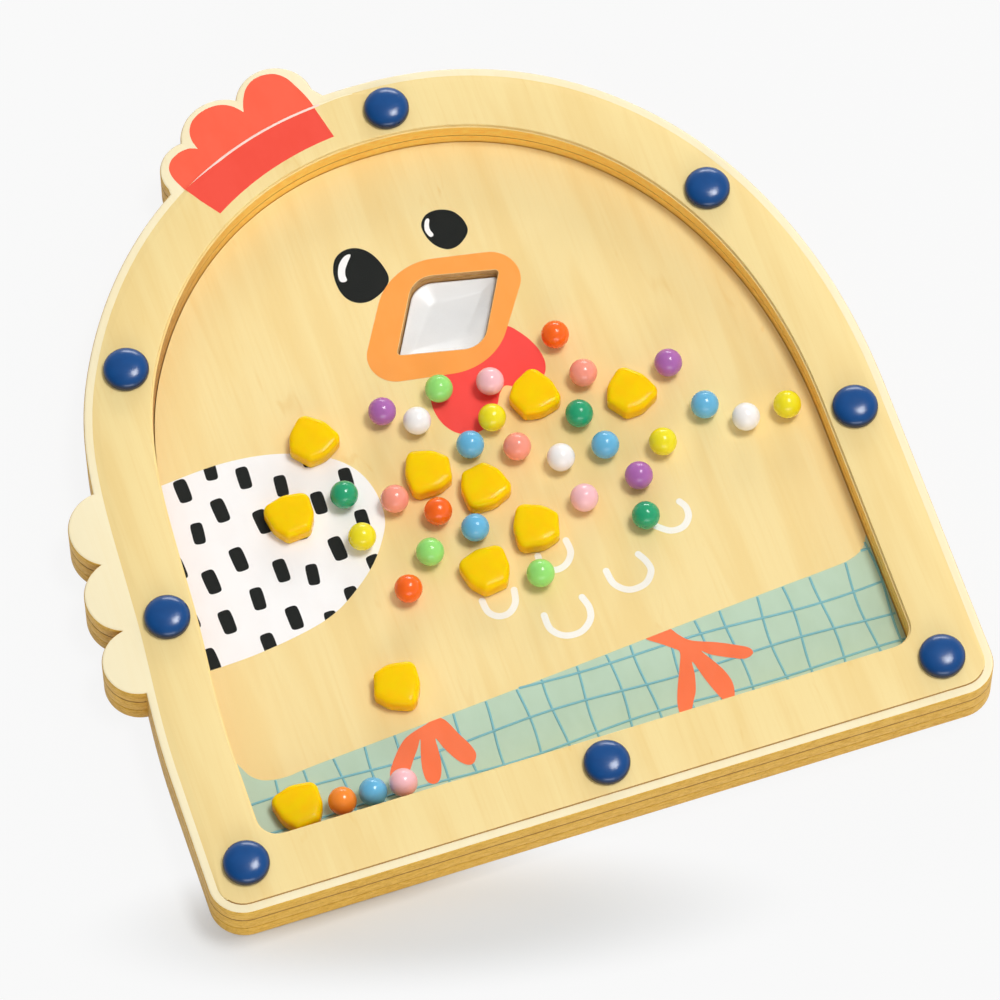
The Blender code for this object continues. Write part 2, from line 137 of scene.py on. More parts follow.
# Loose pieces
BEAD_RADIUS = 0.0044
SEAM_HEIGHT = 0.00003
KERNEL_THICKNESS = 0.0060
KERNEL_BASE = 0.0095
KERNEL_CROWN = 0.0150
KERNEL_LENGTH = 0.0142
KERNEL_BASE_ROUND = 0.0021
KERNEL_CROWN_ROUND = 0.0030
KERNEL_SHOULDER = 0.0032
KERNEL_LEVEL = 0.0079
KERNEL_DOME_INSET = 0.0016
KERNELS = (
    (0.207, 0.548, 22),
    (0.481, 0.508, 36),
    (-0.466, 0.578, 40),
    (-0.172, 0.478, 171),
    (-0.030, 0.432, -79),
    (-0.602, 0.473, 94),
    (0.075, 0.348, 165),
    (-0.108, 0.306, 98),
    (-0.475, 0.175, -16),
)
ROW_START = -0.741
ROW_GAP = 0.0009
ROW_EDGE_GAP = 0.0018
CORNER_KERNEL_TURN = 96

# Mouth
MOUTH_PLACE = (0.057, 0.721)
MOUTH_REACH = (0.0182, 0.0086)
MOUTH_BULGE = (-0.0023, 0.0057)
MOUTH_CORNER = 0.0010
MOUTH_ROUNDING = 0.0082

# Where the tray's wall turns from brown to golden; the brown is painted shade
WALL_BROWN_TO = -0.098
WALL_GOLD_FROM = -0.030

# Inks
INK = 0.00003
FIRST_INK = TRAY_FLOOR
SECOND_INK = TRAY_FLOOR + INK

HUB = (0.0, 0.44 * RIM_HEIGHT)
OPENING_HALF = RIM_WIDTH / 2 - RIM_MARGIN - SIDE_BAND
OPENING_BOTTOM = RIM_MARGIN + LOWER_BAND
OPENING_TOP = RIM_HEIGHT - RIM_MARGIN - SIDE_BAND
TRAY_HEIGHT = OPENING_TOP - OPENING_BOTTOM

frame_low, frame_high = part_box("front_frame")
SHIFT = Vector(((frame_low.x + frame_high.x) / 2, frame_low.y - RIM_MARGIN - SEAT_GAP, 0.0))


# Outlines


def arch(half, bottom, top, corner):
    return {"half": half, "bottom": bottom, "top": top, "corner": corner}


def grown(shape, more):
    """The same arch with its outline moved outwards by more, or inwards where more is negative."""
    corner = max(shape["corner"] + more, LEAST_CORNER)
    return arch(shape["half"] + more, shape["bottom"] - more, shape["top"] + more, corner)


def drawn_in(y):
    """How much nearer to the middle the tail's side lies at height y."""
    share = min(abs(y - TAIL_SIDE_HEIGHT) / TAIL_SIDE_REACH, 1)
    return TAIL_SIDE_DRAW * math.cos(math.pi / 2 * share) ** 2


def inside_arch(shape, x, y):
    x = x if x > 0 else drawn_in(y) - x
    if y > SPRING_HEIGHT:
        rise = (y - SPRING_HEIGHT) / (shape["top"] - SPRING_HEIGHT)
        return (x / shape["half"]) ** ARCH_POWER + rise**ARCH_POWER < 1
    if x > shape["half"] or y < shape["bottom"]:
        return False
    over = x - (shape["half"] - shape["corner"])
    under = shape["bottom"] + shape["corner"] - y
    return over < 0 or under < 0 or math.hypot(over, under) < shape["corner"]


def halved(is_low, low, high, times):
    """Where is_low stops holding between low and high, found by halving."""
    for _ in range(times):
        middle = (low + high) / 2
        if is_low(middle):
            low = middle
        else:
            high = middle
    return low


def at_reach(turn, reach, start=HUB):
    return (start[0] + reach * math.cos(turn), start[1] + reach * math.sin(turn))


def turn_to(x, y):
    return math.atan2(y - HUB[1], x - HUB[0])


def from_hub(x, y):
    return math.hypot(x - HUB[0], y - HUB[1])


def thinned(turns, least):
    """The turns in order, without those that follow another by less than least."""
    turns = sorted(turns)
    return turns[:1] + [turn for before, turn in zip(turns, turns[1:]) if turn - before > least]


def arch_reach(shape, turn):
    """How far a ray from the hub goes before it leaves the arch."""
    return halved(lambda reach: inside_arch(shape, *at_reach(turn, reach)), 0.0, FAR, REACH_HALVINGS)


def disc_reach(disc, turn):
    """How far a lobe's disc reaches. Beside the disc a straight ease leads back to the arch."""
    x, y, radius = disc
    far = from_hub(x, y)
    along = (x - HUB[0]) * math.cos(turn) + (y - HUB[1]) * math.sin(turn)
    inside = along**2 - far**2 + radius**2
    if along > 0 and inside > 0:
        return along + math.sqrt(inside)
    beside = math.acos(max(min(along / far, 1), -1)) - math.asin(radius / far)
    return math.sqrt(far**2 - radius**2) * (1 - LOBE_EASE * beside)


def board_turns(discs=()):
    """Directions for the board's outlines: fine all round, finer at the lower corners and round the discs."""
    corner = math.atan2(-HUB[1], RIM_WIDTH / 2)
    found = []
    turn = -3 * math.pi / 2
    while turn < math.pi / 2 - 0.01:
        found.append(turn)
        near = any(abs(turn - middle) < CORNER_REACH for middle in (corner, -math.pi - corner))
        turn += FINE_TURN if near else COARSE_TURN
    for x, y, radius in discs:
        span = math.pi - math.acos(radius / from_hub(x, y))
        for step in range(-DISC_STEPS, DISC_STEPS + 1):
            swing = turn_to(x, y) + 0.999 * span * step / DISC_STEPS
            turn = turn_to(*at_reach(swing, radius, (x, y)))
            found.append(turn - 2 * math.pi if turn > math.pi / 2 else turn)
    found.sort()
    kept = found[:1]
    for turn in found[1:]:
        if turn - kept[-1] > LEAST_TURN:
            kept.append(turn)
    return kept


def reaches(shape, discs, turn):
    return [arch_reach(shape, turn)] + [disc_reach(disc, turn) for disc in discs]


def notch_turns(shape, discs, turns):
    """Directions of the notches, where the outline passes from one disc or arch to the next."""

    def leader(turn):
        found = reaches(shape, discs, turn)
        return found.index(max(found))

    notches = []
    for low, high in zip(turns, turns[1:]):
        first = leader(low)
        if leader(high) != first:
            notches.append(halved(lambda turn: leader(turn) == first, low, high, NOTCH_HALVINGS))
    return notches


def outline(shape, turns, discs=()):
    return [at_reach(turn, max(reaches(shape, discs, turn))) for turn in turns]


def moved_in(points, inset):
    """An outline, given anticlockwise, moved inwards square to its edges, by one inset or one for each point."""
    moved = []
    count = len(points)
    for i in range(count):
        before = Vector(points[i - 1])
        here = Vector(points[i])
        after = Vector(points[(i + 1) % count])
        first = (here - before).normalized()
        second = (after - here).normalized()
        inward = Vector((-first.y - second.y, first.x + second.x))
        inward.normalize()
        square = max(inward.dot(Vector((-first.y, first.x))), MITRE_LIMIT)
        depth = inset[i] if isinstance(inset, list) else inset
        moved.append(tuple(here + inward * (depth / square)))
    return moved


def hull_outline(circles, sides):
    """The outline of a band drawn tight round circles, each given as x, y and radius."""
    points = []
    for step in range(sides):
        turn = 2 * math.pi * step / sides
        across = math.cos(turn)
        up = math.sin(turn)
        x, y, radius = max(circles, key=lambda c: c[0] * across + c[1] * up + c[2])
        points.append((x + radius * across, y + radius * up))
    return points


def spline(points, steps, closed=True):
    """A smooth curve through the points."""
    drawn = []
    count = len(points)
    spans = count if closed else count - 1
    for i in range(spans):
        if closed:
            a, b, c, d = (Vector(points[(i + k) % count]) for k in (-1, 0, 1, 2))
        else:
            a, b, c, d = (Vector(points[min(max(i + k, 0), count - 1)]) for k in (-1, 0, 1, 2))
        for step in range(steps):
            t = step / steps
            place = 0.5 * (
                2 * b + (c - a) * t + (2 * a - 5 * b + 4 * c - d) * t**2 + (3 * b - a - 3 * c + d) * t**3
            )
            drawn.append(tuple(place))
    if not closed:
        drawn.append(tuple(points[-1]))
    return drawn


def edges(points):
    return zip(points[-1:] + points[:-1], points)


def inside_outline(points, x, y):
    inside = False
    for (ax, ay), (bx, by) in edges(points):
        if (ay > y) != (by > y) and x < (bx - ax) * (y - ay) / (by - ay) + ax:
            inside = not inside
    return inside


def tray_point(across, up):
    return (across * OPENING_HALF, OPENING_BOTTOM + up * TRAY_HEIGHT)


def mouth_circles(grow=0.0):
    x, y = tray_point(*MOUTH_PLACE)
    circles = []
    for side in (1, -1):
        circles.append((x + side * MOUTH_REACH[0], y + side * MOUTH_REACH[1], MOUTH_CORNER + grow))
        circles.append((x + side * MOUTH_BULGE[0], y + side * MOUTH_BULGE[1], MOUTH_ROUNDING + grow))
    return circles


def mouth_hull(grow=0.0, sides=MOUTH_SIDES):
    return hull_outline(mouth_circles(grow), sides)


# Meshes


def linked(name, data):
    """A new object in the scene for a mesh, a lamp or a camera."""
    holder = bpy.data.objects.new(name, data)
    bpy.context.scene.collection.objects.link(holder)
    return holder


def placed(name, bm, materials, sharp=SHARP_TURN):
    """Makes an object of a mesh given from the board's foot, and moves the mesh to where the board lies."""
    bmesh.ops.remove_doubles(bm, verts=bm.verts, dist=WELD)
    bmesh.ops.recalc_face_normals(bm, faces=bm.faces)
    bmesh.ops.translate(bm, verts=bm.verts, vec=SHIFT)
    mesh = bpy.data.meshes.new(name)
    bm.to_mesh(mesh)
    bm.free()
    for material in materials:
        mesh.materials.append(material)
    mesh.shade_smooth()
    mesh.set_sharp_from_angle(angle=sharp)
    return linked(name, mesh)


def skinned(bm, rows, ring=False):
    """Faces over rows of equal length. Each row is its points, its level and the material of the band above it."""
    made = [[bm.verts.new((x, y, level)) for x, y in points] for points, level, _ in rows]
    pairs = [(i, i + 1) for i in range(len(rows) - 1)]
    if ring:
        pairs.append((len(rows) - 1, 0))
    for low, high in pairs:
        for i in range(len(made[0])):
            j = (i + 1) % len(made[0])
            face = bm.faces.new((made[low][i], made[low][j], made[high][j], made[high][i]))
            face.material_index = rows[low][2]
    if not ring:
        bm.faces.new(made[0]).material_index = rows[0][2]
        bm.faces.new(made[-1]).material_index = rows[-1][2]


def solid(name, rows, materials, ring=False, sharp=SHARP_TURN):
    """An object skinned over rows."""
    bm = bmesh.new()
    skinned(bm, rows, ring)
    return placed(name, bm, materials, sharp)


def rounded_rows(points, level, radius, upward, band, inner=False):
    """Rows for a rounded edge at level: from the wall to the flat face, or from the face to the wall where the
    edge is a lower or an inner one."""
    rows = []
    for turn in QUARTER:
        inset = radius * (1 - math.cos(turn))
        drop = radius * (1 - math.sin(turn))
        height = level - drop if upward > 0 else level + drop
        rows.append((moved_in(points, -inset if inner else inset), height, band))
    return rows if upward > 0 and not inner else rows[::-1]


def lathe(bm, profile, sides, place=(0.0, 0.0, 0.0), turn=Matrix.Identity(3)):
    """A solid of revolution about Z. The profile is radius and level, and starts and ends on the axis."""
    angles = [2 * math.pi * step / sides for step in range(sides)]
    rows = []
    for radius, level in profile:
        spots = [(radius * math.cos(angle), radius * math.sin(angle), level) for angle in angles]
        spots = spots if radius > 0 else spots[:1]
        rows.append([bm.verts.new(turn @ Vector(spot) + Vector(place)) for spot in spots])
    for low, high in zip(rows, rows[1:]):
        for i in range(sides):
            j = (i + 1) % sides
            below = (low[i % len(low)], low[j % len(low)])
            above = (high[j % len(high)], high[i % len(high)])
            bm.faces.new(list(dict.fromkeys(below + above)))


def fitted(piece, body, slot, *nodes):
    """The piece moves with its body and stands for the nodes given. The slot is not used."""
    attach(piece, body)
    if nodes:
        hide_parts(*nodes)
    return piece


def applied(piece):
    """Turns the piece's modifiers into plain mesh."""
    evaluated = piece.evaluated_get(bpy.context.evaluated_depsgraph_get())
    mesh = bpy.data.meshes.new_from_object(evaluated)
    piece.modifiers.clear()
    piece.data = mesh
    mesh.name = piece.name
    return piece


def carved(piece, tool, operation, walls):
    """Cuts the piece with the tool. The new walls take the tool's material where walls is TRANSFER."""
    modifier = piece.modifiers.new("carved", "BOOLEAN")
    modifier.operation = operation
    modifier.solver = "EXACT"
    modifier.material_mode = walls
    modifier.object = tool
    applied(piece)
    piece.data.shade_smooth()
    piece.data.set_sharp_from_angle(angle=SHARP_TURN)


# Materials


def shade(red, green, blue):
    """A screen colour, from 0 to 255, as the light that it stands for."""
    values = []
    for value in (red, green, blue):
        value /= 255
        values.append(value / 12.92 if value <= 0.04045 else ((value + 0.055) / 1.055) ** 2.4)
    return (*values, 1.0)


def added(tree, kind, feeds, **settings):
    """Adds a node to a tree. Feeds are its inputs, by name or number: outputs to link, or plain values."""
    node = tree.nodes.new(kind)
    for name, value in settings.items():
        setattr(node, name, value)
    for name, value in feeds.items():
        if isinstance(value, bpy.types.NodeSocket):
            tree.links.new(value, node.inputs[name])
        else:
            node.inputs[name].default_value = value
    return node


def calculated(tree, operation, *values):
    return added(tree, "ShaderNodeMath", dict(enumerate(values)), operation=operation).outputs["Value"]


def spanned(tree, value, low, high, least=0.0, most=1.0):
    """Value taken from the span low to high onto the span least to most, with soft ends."""
    feeds = {"Value": value, "From Min": low, "From Max": high, "To Min": least, "To Max": most}
    return added(tree, "ShaderNodeMapRange", feeds, interpolation_type="SMOOTHSTEP").outputs["Result"]


class Finish:
    """A material under construction: its nodes, and the few ways that this board's finishes join them."""

    def __init__(self, name, roughness=0.45, specular=0.5):
        self.material = bpy.data.materials.new(name)
        self.material.use_nodes = True
        self.tree = self.material.node_tree
        self.shader = self.tree.nodes["Principled BSDF"]
        self.shader.inputs["Roughness"].default_value = roughness
        self.shader.inputs["Specular IOR Level"].default_value = specular
        self.place = self.added("ShaderNodeTexCoord").outputs["Object"]

    def added(self, kind, feeds=None, **settings):
        return added(self.tree, kind, feeds or {}, **settings)

    def stretched(self, scale, turn=0.0):
        """Object coordinates drawn out: a small scale along an axis makes long marks that way."""
        feeds = {"Vector": self.place, "Scale": scale, "Rotation": (0, 0, math.radians(turn))}
        return self.added("ShaderNodeMapping", feeds).outputs["Vector"]

    def cloud(self, vector, scale, detail=3.0, roughness=0.5, warp=0.0):
        feeds = {"Vector": vector, "Scale": scale, "Detail": detail, "Roughness": roughness, "Distortion": warp}
        return self.added("ShaderNodeTexNoise", feeds).outputs["Fac"]

    def parts(self, vector):
        return self.added("ShaderNodeSeparateXYZ", {"Vector": vector}).outputs

    def between(self, value, *span):
        return spanned(self.tree, value, *span)

    def mixed(self, share, first, second):
        """Two colours mixed by share. Each is a colour or an output."""
        return self.added("ShaderNodeMix", {"Factor": share, 6: first, 7: second}, data_type="RGBA").outputs[2]

    def coloured(self, output):
        self.tree.links.new(output, self.shader.inputs["Base Color"])

    def roughened(self, value, least, most):
        self.tree.links.new(self.between(value, 0.3, 0.7, least, most), self.shader.inputs["Roughness"])

    def bumped(self, value, strength, depth):
        bump = self.added("ShaderNodeBump", {"Strength": strength, "Distance": depth, "Height": value})
        self.tree.links.new(bump.outputs["Normal"], self.shader.inputs["Normal"])

    def finished(self, tone, cloud, least, most, strength, depth):
        """Gives the shader its colour. One cloud drives its roughness and its bumps."""
        self.coloured(tone)
        self.roughened(cloud, least, most)
        self.bumped(cloud, strength, depth)
        return self.material

    def surfaced(self, share, first, second):
        """The surface is a mix of two shaders by share."""
        mix = self.added("ShaderNodeMixShader", {"Fac": share, 1: first.outputs[0], 2: second.outputs[0]})
        self.tree.links.new(mix.outputs["Shader"], self.tree.nodes["Material Output"].inputs["Surface"])


def wood_finish(name, light, deep, fleck, tilt, streak, roughness):
    """Smooth pale wood: broad soft streaks along the board, fine fibres in them, and a few darker flecks."""
    wood = Finish(name, roughness, 0.15)
    broad = wood.cloud(wood.stretched((1.0, 0.10, 1.0), tilt), 95, 3, 0.55, 0.4)
    fibres = wood.cloud(wood.stretched((1.0, 0.028, 1.0), tilt), 900, 4, 0.6, 0.2)
    marks = wood.cloud(wood.stretched((1.0, 0.22, 1.0), tilt), 160, 2, 0.5, 1.2)
    tone = wood.mixed(wood.between(broad, 0.38, 0.66, 0.0, streak), light, deep)
    tone = wood.mixed(wood.between(fibres, 0.45, 0.75, 0.0, 0.28), tone, deep)
    tone = wood.mixed(wood.between(marks, 0.66, 0.80, 0.0, 0.35), tone, fleck)
    return wood.finished(tone, fibres, roughness - 0.05, roughness + 0.08, 0.12, 0.00008)


def edge_finish(name, light, deep, speck, roughness):
    """Sawn and oiled edge: short fibres along the layer and fine dark specks."""
    edge = Finish(name, roughness, 0.3)
    fibres = edge.cloud(edge.stretched((1.0, 1.0, 3.2)), 420, 4, 0.65, 0.3)
    specks = edge.cloud(edge.stretched((1.0, 1.0, 0.8)), 1500, 2)
    slow = edge.cloud(edge.place, 24, 2)
    tone = edge.mixed(edge.between(fibres, 0.35, 0.68), light, deep)
    tone = edge.mixed(edge.between(specks, 0.58, 0.74, 0.0, 0.45), tone, speck)
    tone = edge.mixed(edge.between(slow, 0.3, 0.7, 0.0, 0.25), tone, light)
    return edge.finished(tone, fibres, roughness - 0.06, roughness + 0.1, 0.25, 0.0001)


def wall_finish():
    """The tray's walls: golden, and browner on the tail's side, a painted shade that dims the light this wall throws
    onto the panel.
    """
    wall = Finish("wall_gold", 0.46, 0.3)
    fibres = wall.cloud(wall.stretched((1.0, 1.0, 3.2)), 420, 3, 0.6, 0.3)
    # Painted shade: towards the tail's side the wall turns brown.
    golden = wall.between(wall.parts(wall.place)["X"], SHIFT.x + WALL_BROWN_TO, SHIFT.x + WALL_GOLD_FROM)
    gold = wall.mixed(wall.between(fibres, 0.35, 0.68), shade(255, 212, 104), shade(255, 196, 84))
    brown = wall.mixed(wall.between(fibres, 0.35, 0.68), shade(184, 134, 74), shade(170, 119, 61))
    return wall.finished(wall.mixed(golden, brown, gold), fibres, 0.42, 0.54, 0.08, 0.0001)


def ink_finish(name, color, other, roughness=0.42, specular=0.12):
    """Printed ink: flat colour with a faint unevenness, and the wood's fibres just felt through it."""
    ink = Finish(name, roughness, specular)
    patches = ink.cloud(ink.stretched((1.0, 0.5, 1.0)), 130, 3, 0.6)
    fibres = ink.cloud(ink.stretched((1.0, 0.03, 1.0), 3), 900, 3, 0.6)
    ink.coloured(ink.mixed(ink.between(patches, 0.35, 0.7, 0.0, 0.7), color, other))
    ink.roughened(patches, roughness - 0.04, roughness + 0.06)
    ink.bumped(fibres, 0.08, 0.00005)
    return ink.material


def plastic_finish(name, color, roughness, coat, specular, depth):
    """Moulded plastic: even colour with the slightest clouding, and a soft gloss."""
    plastic = Finish(name, roughness, specular)
    plastic.shader.inputs["Coat Weight"].default_value = coat
    plastic.shader.inputs["Coat Roughness"].default_value = 0.06
    cloud = plastic.cloud(plastic.place, 260, 3)
    other = tuple(value * depth for value in color[:3]) + (1.0,)
    tone = plastic.mixed(plastic.between(cloud, 0.35, 0.7), color, other)
    fine = plastic.cloud(plastic.place, 1400, 2)
    return plastic.finished(tone, fine, roughness - 0.03, roughness + 0.05, 0.015, 0.00003)


def kernel_finish():
    """Amber plastic, deeper and more orange down its sides: partly the amber's own tone, partly painted shade of the
    sides.
    """
    amber = Finish("kernel_amber", 0.14, 0.1)
    amber.shader.inputs["Subsurface Weight"].default_value = 0.7
    amber.shader.inputs["Subsurface Radius"].default_value = (1.0, 0.45, 0.05)
    amber.shader.inputs["Subsurface Scale"].default_value = 0.004
    cloud = amber.cloud(amber.place, 220, 3)
    top = KERNEL_LEVEL + KERNEL_THICKNESS
    # Painted shade in part: below the top, the sides take the deeper orange.
    rise = amber.between(amber.parts(amber.place)["Z"], top - 0.0026, top - 0.0006)
    tone = amber.mixed(amber.between(cloud, 0.35, 0.7), shade(255, 207, 0), shade(255, 202, 0))
    return amber.finished(amber.mixed(rise, shade(255, 190, 0), tone), cloud, 0.12, 0.17, 0.01, 0.0001)


def window_finish():
    """Clear sheet: what lies behind it shows through, with a gloss that grows towards a low line of sight."""
    clear = Finish("window_clear")
    clear.tree.nodes.remove(clear.shader)
    smear = clear.between(clear.cloud(clear.place, 18, 2), 0.3, 0.7, 0.03, 0.07)
    through = clear.added("ShaderNodeBsdfTransparent")
    gloss = clear.added("ShaderNodeBsdfGlossy", {"Roughness": smear})
    weight = clear.added("ShaderNodeLayerWeight", {"Blend": 0.5})
    steep = calculated(clear.tree, "POWER", weight.outputs["Facing"], 4.0)
    clear.surfaced(calculated(clear.tree, "MULTIPLY_ADD", steep, 0.15, 0.004), through, gloss)
    return clear.material


def cap_finish():
    """Glossy blue plastic, deeper where the dome falls off to its rim: that deeper blue is painted shade."""
    blue = Finish("cap_blue", 0.18, 0.5)
    cloud = blue.between(blue.cloud(blue.place, 260, 3), 0.35, 0.7)
    top = blue.mixed(cloud, shade(0, 72, 136), shade(0, 68, 130))
    facing = blue.added("ShaderNodeTexCoord").outputs["Normal"]
    # Painted shade: the steeper the surface, the deeper the blue, down to the skirt.
    rise = blue.between(blue.parts(facing)["Z"], 0.30, 1.0)
    fine = blue.cloud(blue.place, 1400, 2)
    return blue.finished(blue.mixed(rise, shade(2, 34, 72), top), fine, 0.20, 0.25, 0.01, 0.00003)


FACE_WOOD = wood_finish("face_wood", shade(243, 219, 155), shade(236, 203, 132), shade(231, 189, 111), 3, 0.5, 0.44)
PANEL_WOOD = wood_finish("panel_wood", shade(247, 223, 160), shade(241, 209, 138), shade(233, 189, 108), 4, 0.6, 0.46)
RIM_CREAM = wood_finish("rim_cream", shade(248, 235, 197), shade(244, 226, 178), shade(239, 213, 156), 2, 0.35, 0.48)
BACK_WOOD = wood_finish("back_wood", shade(232, 196, 124), shade(218, 174, 96), shade(196, 150, 74), 3, 0.7, 0.52)
EDGE_GOLD = edge_finish("edge_gold", shade(226, 180, 72), shade(202, 151, 45), shade(146, 101, 36), 0.5)
WALL_GOLD = wall_finish()
# Brown of the dark joints between the layers, and of the painted shadow line along the frame's lower edge.
JOINT_AND_SHADOW_BROWN = edge_finish("joint_brown", shade(176, 134, 70), shade(160, 116, 56), shade(130, 92, 42), 0.6)
HOLE_BROWN = edge_finish("hole_brown", shade(206, 160, 98), shade(178, 130, 72), shade(130, 90, 46), 0.55)
INK_BLACK = ink_finish("ink_black", shade(30, 32, 30), shade(35, 37, 35), 0.6, 0.08)
INK_WHITE = ink_finish("ink_white", shade(252, 250, 248), shade(249, 245, 242))
INK_CREAM = ink_finish("ink_cream", shade(250, 246, 236), shade(247, 240, 226))
INK_ORANGE = ink_finish("ink_orange", shade(255, 166, 80), shade(254, 161, 72))
INK_RED = ink_finish("ink_red", shade(252, 80, 74), shade(249, 74, 66))
INK_COMB = ink_finish("ink_comb", shade(250, 102, 76), shade(248, 96, 69))
INK_COMB_DEEP = ink_finish("ink_comb_deep", shade(243, 84, 68), shade(240, 78, 61))
INK_CORAL = ink_finish("ink_coral", shade(254, 125, 80), shade(252, 118, 70))
INK_SAGE = ink_finish("ink_sage", shade(190, 214, 190), shade(184, 208, 182))
# Pale edge over the comb: the bare bevel with a painted highlight.
PALE_BEVEL_AND_HIGHLIGHT = ink_finish("ink_pale", shade(255, 222, 212), shade(255, 214, 204))
INK_BLUE = ink_finish("ink_blue", shade(132, 190, 196), shade(126, 185, 194))
CAP_BLUE = cap_finish()
DISH_WHITE = plastic_finish("dish_white", shade(240, 241, 240), 0.3, 0.1, 0.4, 0.98)
KERNEL_AMBER = kernel_finish()
WINDOW_CLEAR = window_finish()
BEAD_COLORS = {
    "orange_red": shade(255, 104, 14),
    "salmon": shade(255, 156, 134),
    "purple": shade(176, 104, 178),
    "light_green": shade(154, 230, 118),
    "light_pink": shade(255, 196, 202),
    "white": shade(252, 248, 245),
    "yellow": shade(246, 230, 28),
    "dark_green": shade(34, 162, 112),
    "blue": shade(104, 184, 224),
    "orange": shade(255, 143, 42),
}
BEAD_FINISHES = {
    name: plastic_finish("bead_" + name, color, 0.19, 0.0, 0.5, 0.95) for name, color in BEAD_COLORS.items()
}


# The wooden layers

RIM = arch(RIM_WIDTH / 2, 0, RIM_HEIGHT, RIM_CORNER)
FRAME = grown(RIM, -RIM_MARGIN)
OPENING = arch(OPENING_HALF, OPENING_BOTTOM, OPENING_TOP, OPENING_CORNER)
LOBES = COMB_DISCS + TAIL_DISCS


def rivet_places():
    places = []
    for degrees in RIVET_TURNS:
        turn = math.radians(degrees)
        reach = (arch_reach(FRAME, turn) + arch_reach(OPENING, turn)) / 2
        places.append(at_reach(turn, reach))
    return places


def bore_tool():
    bm = bmesh.new()
    for x, y in rivet_places():
        profile = [(0, BORE_FLOOR), (BORE_RADIUS, BORE_FLOOR), (BORE_RADIUS, CUT_TOP), (0, CUT_TOP)]
        lathe(bm, profile, BORE_SIDES, (x, y, 0))
    return placed("bore_tool", bm, [EDGE_GOLD])


def mouth_tool():
    hole = mouth_hull(sides=96)
    return solid("mouth_tool", [(hole, DISH_POCKET, 0), (hole, CUT_TOP, 0)], [HOLE_BROWN])


def top_rows(points, level, radius, band, flat_band):
    """Rows up an outer wall and over its rounded upper edge, ending on the flat face."""
    rows = rounded_rows(points, level, radius, 1, band)
    rows[-1] = (rows[-1][0], rows[-1][1], flat_band)
    return rows


# Over the comb the frame's edge is pale, the bare bevel with a painted highlight along it: its span, its fading tail
# past the comb and how much wider it is.
COMB_EDGE_START = turn_to(-0.0567, 0.2377)
COMB_EDGE_END = turn_to(-0.0131, 0.2576)
COMB_EDGE_TAIL = 0.085
COMB_EDGE_MORE = 0.0004
COMB_EDGE_FADE = 0.04
LOWER_EDGE_TOP = 0.022
LOWER_EDGE_FADE = 0.014


def edge_inset(turn, swing):
    """How far the frame's edge has come in at a swing of its rounding: steep below and at the comb, else gentle."""
    if turn < -math.pi:
        turn += 2 * math.pi
    x, y = at_reach(turn, arch_reach(FRAME, turn))
    upright = min(max((LOWER_EDGE_TOP - y) / LOWER_EDGE_FADE, 0), 1)
    comb = 0.0
    if y > SPRING_HEIGHT:
        aside = max(turn - COMB_EDGE_START, COMB_EDGE_END - COMB_EDGE_TAIL - turn, 0)
        comb = max(1 - aside / COMB_EDGE_FADE, 0)
    steep = max(upright, comb)
    width = FRAME_ROUND + COMB_EDGE_MORE * comb
    if turn < COMB_EDGE_END:
        width *= max(1 - 0.8 * (COMB_EDGE_END - turn) / COMB_EDGE_TAIL, 0.2) if comb else 1
    return (1 - math.cos(swing)) * width * steep + math.sin(swing) * FRAME_SLOPE * (1 - steep)


